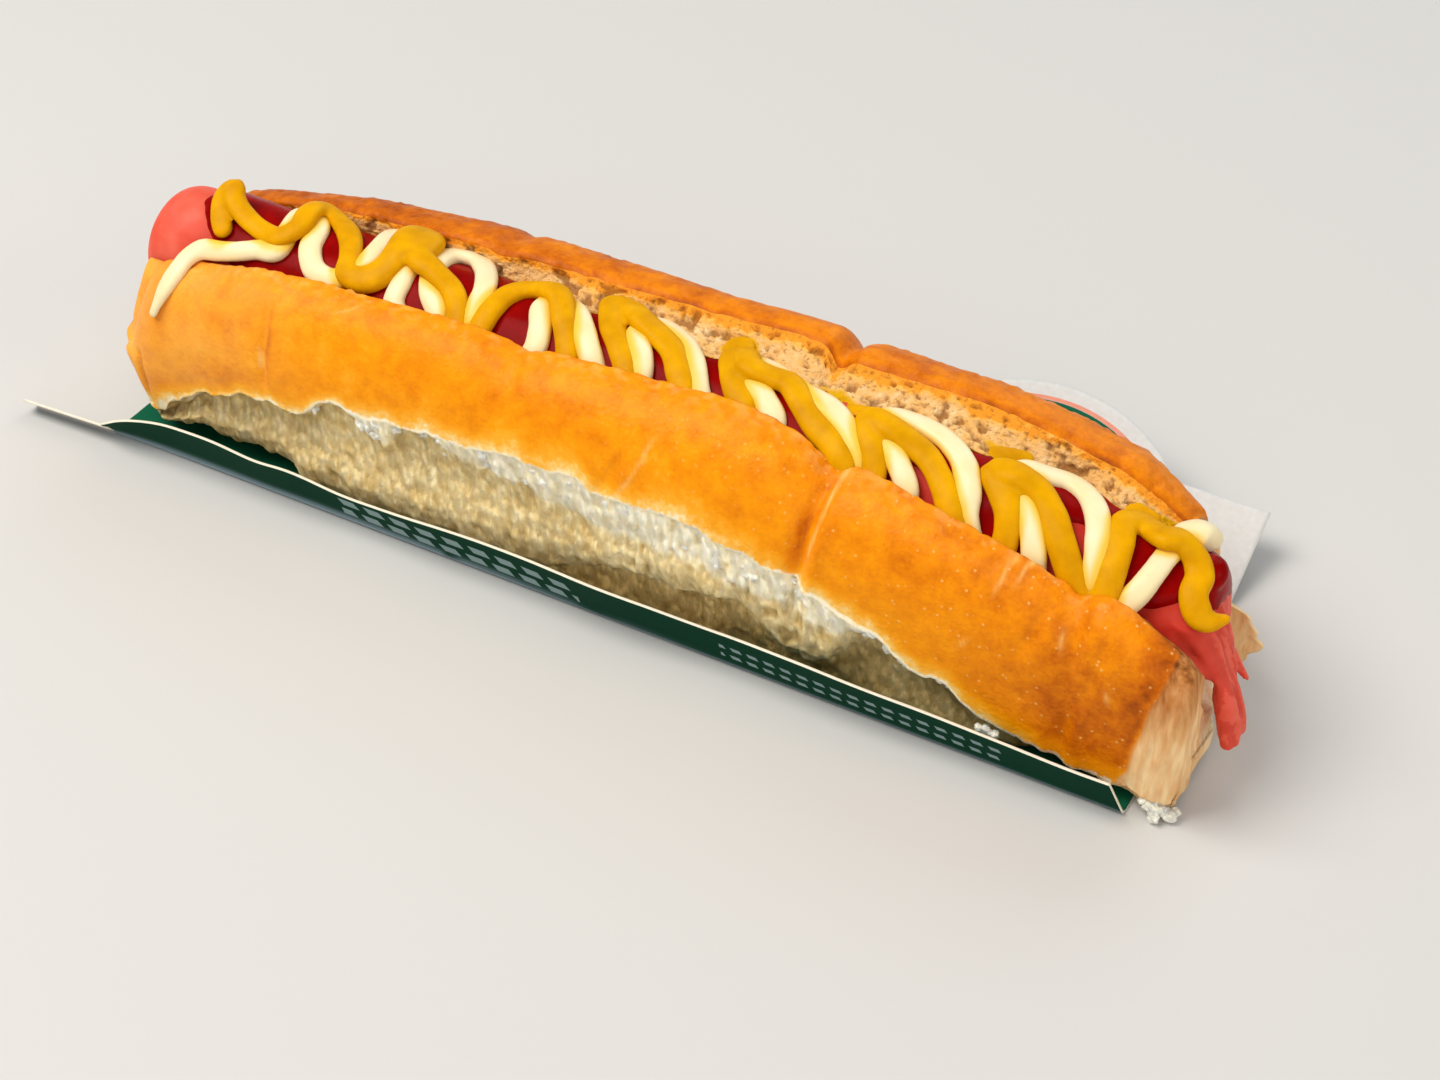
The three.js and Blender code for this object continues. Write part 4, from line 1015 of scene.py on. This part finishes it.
def bead(path, up, width, flatness, seed, sides=18):
    """A bead of sauce along a path: domed above, flatter below, with rounded ends."""
    along = np.gradient(path, axis=0)
    along /= np.linalg.norm(along, axis=1, keepdims=True)
    side = np.cross(along, up)
    side /= np.linalg.norm(side, axis=1, keepdims=True)
    up = np.cross(side, along)
    travelled = np.arange(len(path)) * np.linalg.norm(path[1] - path[0])
    swell = 1 + 0.08 * along_x(travelled, 9, 2, seed) + 0.03 * along_x(travelled, 2.5, 1, seed + 1)
    from_end = np.minimum(travelled, travelled[-1] - travelled) / (width * 0.5)
    tip = np.sqrt(1 - (1 - np.clip(from_end + 0.03, 0, 1)) ** 2)
    angle = np.arange(sides) / sides * 2 * math.pi
    high = np.sign(np.sin(angle)) * np.abs(np.sin(angle)) ** 0.8 * 0.55 * flatness
    across = np.sign(np.cos(angle)) * np.abs(np.cos(angle)) ** 0.85 / 2
    scale = (width * swell * tip)[:, None, None]
    rings = path[:, None] + side[:, None] * across[None, :, None] * scale
    rings = rings + up[:, None] * high[None, :, None] * scale
    return ring_skin(rings)


def spread_out(path):
    """Places on the sausage unrolled flat, to tell how near two beads run."""
    out = path - around_axis(path[:, 0], 0, 0)
    return np.stack([path[:, 0], 14 * np.arctan2(out[:, 1], out[:, 2])], axis=-1)


def on_sausage(turns):
    """The turns' places, a little lower than written, as the beads spread and settle."""
    places = [(x, degrees, height[0] if height else 2.0) for x, degrees, *height in turns]
    x, degrees, height = np.array(places, float).T
    return around_axis(x, degrees, SAUSAGE_RADIUS + height - 0.7)


def on_cut(places):
    """Points on the far wall's cut face."""
    points = []
    for x, share in places:
        strip = section_strips(np.array([float(x)]))[CUT_FACE][0]
        points.append([x, *strip[int(share * (len(strip) - 1))]])
    return np.array(points)


def sauces():
    """The mayonnaise, then the mustard, which rises where it crosses the mayonnaise."""
    step = 0.6
    mayo_path = smooth_path(np.concatenate([TAIL, on_sausage(MAYONNAISE)]), step)
    hanging_down = smoothstep(-mayo_path[:, 0], 98, 104)[:, None]
    up = radial(mayo_path) * (1 - hanging_down) + np.array([-0.1, -0.6, 0.8]) * hanging_down
    mayo_path = mayo_path - 0.5 * up * hanging_down
    width = BEAD_WIDTH * (0.4 + 0.45 * smoothstep(np.arange(len(mayo_path)) * step, 0, 10)
                          + 0.1 * smoothstep(mayo_path[:, 0], -92, -86))
    mayo = bead(mayo_path, up, width, BEAD_HEIGHT / BEAD_WIDTH, 80)
    blob_path = around_axis([95, 97.5, 100.6, 102.2], [16, 21, 26, 24], [12.8, 13.9, 14.3, 13.6])
    blob_path = smooth_path(blob_path, step)
    blob_width = 7.1 - 1.8 * bell(np.arange(len(blob_path)) * step, 1.5, 1.5)
    blob = bead(blob_path, radial(blob_path), blob_width, 0.7, 86)
    mayonnaise = fused("mayonnaise", [mayo, blob], mayonnaise_sauce(), 0.36, 8)

    path = smooth_path(on_sausage(MUSTARD), step)
    mayo_flat, flat = spread_out(mayo_path), spread_out(path)
    nearest = np.array([np.linalg.norm(mayo_flat - q, axis=1).min() for q in flat])
    lift = 0.8 * (1 - smoothstep(nearest, 1.0, 4.5))
    window = np.hanning(15)
    lift = np.convolve(np.pad(lift, 7, mode="edge"), window / window.sum(), mode="valid")
    path = path + radial(path) * lift[:, None]
    width = BEAD_WIDTH * (1 + 0.28 * bell(path[:, 0], -62, 5) + 0.12 * bell(path[:, 0], 66, 3)
                          - 0.08 * smoothstep(-path[:, 0], 60, 80))
    width *= 0.35 + 0.65 * smoothstep(np.arange(len(path))[::-1] * step, 0, 6)
    beads = [bead(path, radial(path), width, BEAD_HEIGHT / BEAD_WIDTH, 90)]
    for number, (smear_width, places) in enumerate(SMEARS):
        smear = smooth_path(on_cut(places), step)
        up = np.broadcast_to(np.array([0.0, -0.35, 0.94]), smear.shape)
        beads.append(bead(smear, up, smear_width, 0.22, 92 + 2 * number))
    mustard = fused("mustard", beads, mustard_sauce(), 0.36, 8)
    tree = kdtree.KDTree(len(path))
    for number, point in enumerate(path):
        tree.insert(point, number)
    tree.balance()
    apart = np.array([tree.find(v.co / MM)[2] for v in mayonnaise.data.vertices])
    set_mask(mayonnaise.data, "tinged", 0.9 * (1 - smoothstep(apart, 2.6, 4.2)))
    own(mayonnaise, "mayonnaise", "sausage")
    own(mustard, "mustard", "sausage")


def ketchup():
    """A film over the top of the sausage with a rounded edge, and a drop at the right."""
    grid_x, grid_degrees = np.meshgrid(np.arange(-114, 108.5, 0.6), np.linspace(-88, 74, 110), indexing="ij")
    near_edge = through(
        (-112, 10), (-108, -10), (-102, -36), (-96, -62), (-80, -80), (44, -80), (48, -36), (52, -26),
        (56, -44), (60, -80), (72, -80), (77, -30), (82, -18), (86, -40), (90, -66), (94, -58), (98, -46),
        (103, -32), (108, -16))
    far_edge = through((-112, 20), (-106, 62), (90, 66), (104, 60), (108, 50))
    flat = xyz(grid_x, grid_degrees * MM_A_DEGREE, 0)
    wobble = 1.2 * lumps(flat, 7, 100) + 0.5 * lumps(flat, 2.5, 101)
    far = np.minimum(far_edge(grid_x), crumb_foot(grid_x) + 5)
    inside = np.minimum(grid_degrees - near_edge(grid_x), far - grid_degrees) * MM_A_DEGREE
    inside = np.minimum(inside, np.minimum(grid_x + 109.5, 107.2 - grid_x)) + wobble
    film = KETCHUP_DEPTH * np.sqrt(np.clip(inside / 1.6, 0, 1)) + 0.25 * lumps(flat, 9, 102) * (inside > 1)
    shrink = domed(grid_x)
    height = np.where(inside > 0, film, -0.6)
    top = around_axis(grid_x, grid_degrees, SAUSAGE_RADIUS * shrink + height)
    under = around_axis(grid_x, grid_degrees, (SAUSAGE_RADIUS - 1.5) * shrink)
    rings = np.concatenate([top[:, ::-1], under], axis=1)
    drop = ring_skin(np.array((103.3, -3.6, 36.2)) + unit_ball(24, 14, 0.49) * np.array((3.2, 3.6, 3.0)))
    obj = fused("ketchup", [ring_skin(rings), drop], ketchup_sauce(), 0.45, 4)
    own(obj, "ketchup", "sausage")


# ---- Card tray ----
BASE_COLUMNS, FOLD_COLUMNS, LIP_COLUMNS = 11, 8, 23
CARD_FAR_REACH = 23.0
lip_top = through(
    (-119, 5), (-113, 8.4), (-104.5, 10.6), (-97, 11.4), (-89, 11.5), (-79.5, 10.6), (-71, 11.2), (-59, 9.6),
    (-50, 9.8), (-38, 10.8), (-22, 11.4), (0, 11.5), (20, 10.4), (41, 11), (61, 10.4), (80, 9.6), (102, 9.2))


def board(middle, across, fold_sheen_and_wear):
    """A sheet of board about a grid of middle points [rows, columns, 3], and its masks."""
    normals = np.cross(np.gradient(middle, axis=1), np.gradient(middle, axis=0))
    normals /= np.linalg.norm(normals, axis=2, keepdims=True)
    inside, outside = middle + normals * CARD_THICKNESS / 2, middle - normals * CARD_THICKNESS / 2
    rings = np.concatenate([inside, outside[:, ::-1]], axis=1)
    points, faces = ring_skin(rings)
    rows, columns = middle.shape[:2]
    # Material slots: inside, outside and the cut edges.
    slots = np.full((rows - 1, 2 * columns), 2)
    slots[:, :columns - 1] = 0
    slots[:, columns:2 * columns - 1] = 1
    masks = [np.concatenate([m, m[:, ::-1]], axis=1).ravel() for m in (across, fold_sheen_and_wear)]
    return points, faces, np.concatenate([slots.ravel(), [2, 2]]), masks


def card_tray():
    """Base and near lip as one sheet, the far panel with its round tab, and the tongue."""
    x = np.linspace(CARD_LEFT, CARD_RIGHT, 260)[:, None]
    from_left = np.clip(1 - (x - CARD_LEFT) / 20, 0, 1)
    lean = np.radians(20 + 20 * from_left ** 2)
    bend = 1.6
    turn = math.pi / 2 - lean
    arc = turn * np.linspace(0, 1, FOLD_COLUMNS)[None, :]
    straight = lip_top(x) / np.cos(lean) - bend
    fold_y = -CARD_HALF_WIDTH + bend * np.tan(turn / 2)
    base = np.linspace(0, 1, BASE_COLUMNS + 1)[None, :-1]
    lip = np.linspace(0, 1, LIP_COLUMNS + 1)[None, 1:]
    y = np.concatenate([
        CARD_HALF_WIDTH + (fold_y - CARD_HALF_WIDTH) * base, fold_y - bend * np.sin(arc),
        fold_y - bend * np.sin(turn) - straight * np.sin(lean) * lip], axis=1)
    z = np.concatenate([
        np.zeros((len(x), BASE_COLUMNS)), bend * (1 - np.cos(arc)),
        bend * (1 - np.cos(turn)) + straight * np.cos(lean) * lip], axis=1)
    up = np.clip(z / 10.0, 0, 1)
    y = y + 0.5 * up * along_x(x, 26, 2, 140)
    near_end = np.clip(1 - (CARD_RIGHT - x) / 12, 0, 1)
    middle = xyz(x - 2.6 * near_end ** 3 * up, y, z + CARD_THICKNESS / 2)
    past_fold = np.arange(y.shape[1])[None, :] > BASE_COLUMNS
    across = np.maximum(z, 0) * past_fold
    left_part = smoothstep(-x, -30, 60)
    # Along the fold, broader and patchy at the left: painted reflection, partly rubbed ink.
    sheen_and_scuff = smoothstep(along_x(x, 12, 3, 141) + 0.9 * left_part, -0.2, 0.5)
    fold_sheen_and_wear = bell(z, 0.7, 0.55) * (0.55 + 0.3 * left_part) + left_part * bell(z, 1.6, 1.1) * sheen_and_scuff * 0.6
    sheets = [board(middle, across, fold_sheen_and_wear * past_fold * 0.9)]

    x = np.linspace(CARD_LEFT + 3, CARD_RIGHT - 2.5, 240)[:, None]
    round_tab = np.sqrt(np.clip(CARD_TAB_RADIUS ** 2 - (x - CARD_TAB_X) ** 2, 0, None)) + CARD_TAB_INSET
    reach = np.maximum(CARD_FAR_REACH, round_tab) * np.linspace(1, 0, 30)[None, :]
    slope = math.radians(24)
    lift = 0.4 * along_x(x, 40, 1, 143) * reach / CARD_FAR_REACH
    middle = xyz(x, CARD_HALF_WIDTH - 0.4 + reach * math.cos(slope),
                 reach * math.sin(slope) + lift + CARD_THICKNESS / 2)
    sheets.append(board(middle, reach, np.zeros_like(reach)))

    t, k = np.linspace(0, 1, 16)[:, None], np.linspace(0, 1, 6)[None, :]
    width = (4 + t) * k
    rise = width * 0.707
    middle = xyz(CARD_LEFT - 20.5 + 22 * t, -CARD_HALF_WIDTH - 1 + 1.2 * t - rise, 0.6 + rise)
    sheets.append(board(middle, np.full_like(width, 99), np.zeros_like(width)))

    points, faces = merge([sheet[:2] for sheet in sheets])
    slots = np.concatenate([sheet[2] for sheet in sheets])
    masks = {name: np.concatenate([sheet[3][number] for sheet in sheets])
             for number, name in enumerate(("across", "fold_sheen_and_wear"))}
    made = [inside_print(), outside_print(), unprinted_board()]
    own(mesh_object("card_tray_board", points, faces, made, masks, slots), "card", "card_tray")


# ---- Light, floor and camera ----
def stage():
    """A plain floor, a dim sky and soft lamps."""
    mesh = bpy.data.meshes.new("floor")
    mesh.from_pydata([(-3, -3, 0), (3, -3, 0), (3, 3, 0), (-3, 3, 0)], [], [(0, 1, 2, 3)])
    made, _, shader, _ = material("plain_floor", Roughness=0.7)
    shader.inputs["Base Color"].default_value = srgb("#C9C7C3")
    mesh.materials.append(made)
    floor = bpy.data.objects.new("floor", mesh)
    bpy.context.scene.collection.objects.link(floor)

    world = bpy.data.worlds.new("studio")
    world.use_nodes = True
    world.node_tree.nodes["Background"].inputs["Color"].default_value = (0.92, 0.95, 1.0, 1)
    world.node_tree.nodes["Background"].inputs["Strength"].default_value = 0.3
    bpy.context.scene.world = world

    # Name, place, width in metres, watts and colour.
    lamps = (("window", (-0.5, -0.3, 1.0), 0.7, 13, (1.0, 0.97, 0.92)),
             ("front_fill", (0.55, -0.9, 0.5), 1.0, 4.4, (1.0, 0.99, 0.97)),
             ("end_fill", (0.95, 0.0, 0.4), 0.6, 2.2, (1.0, 0.98, 0.95)),
             ("back_fill", (0.1, 0.9, 0.7), 0.8, 3.5, (0.97, 0.98, 1.0)))
    for name, at, size, power, colour in lamps:
        lamp = bpy.data.lights.new(name, "AREA")
        lamp.size = size
        lamp.energy = power
        lamp.color = colour
        obj = bpy.data.objects.new(name, lamp)
        obj.location = at
        aim = -np.array(at)
        flat = math.hypot(aim[0], aim[1])
        obj.rotation_euler = (math.atan2(flat, -aim[2]), 0, math.atan2(-aim[0], aim[1]))
        bpy.context.scene.collection.objects.link(obj)


def camera():
    data = bpy.data.cameras.new("camera")
    data.lens, data.sensor_width = 60, 36
    obj = bpy.data.objects.new("camera", data)
    obj.location = (0.18011, -0.31088, 0.300)
    obj.rotation_euler = (math.radians(50), 0, math.radians(29.13))
    bpy.context.scene.collection.objects.link(obj)
    bpy.context.scene.camera = obj
    bpy.context.scene.view_settings.view_transform = "Standard"


camera()
stage()
roll()
frankfurter()
ketchup()
sauces()
card_tray()
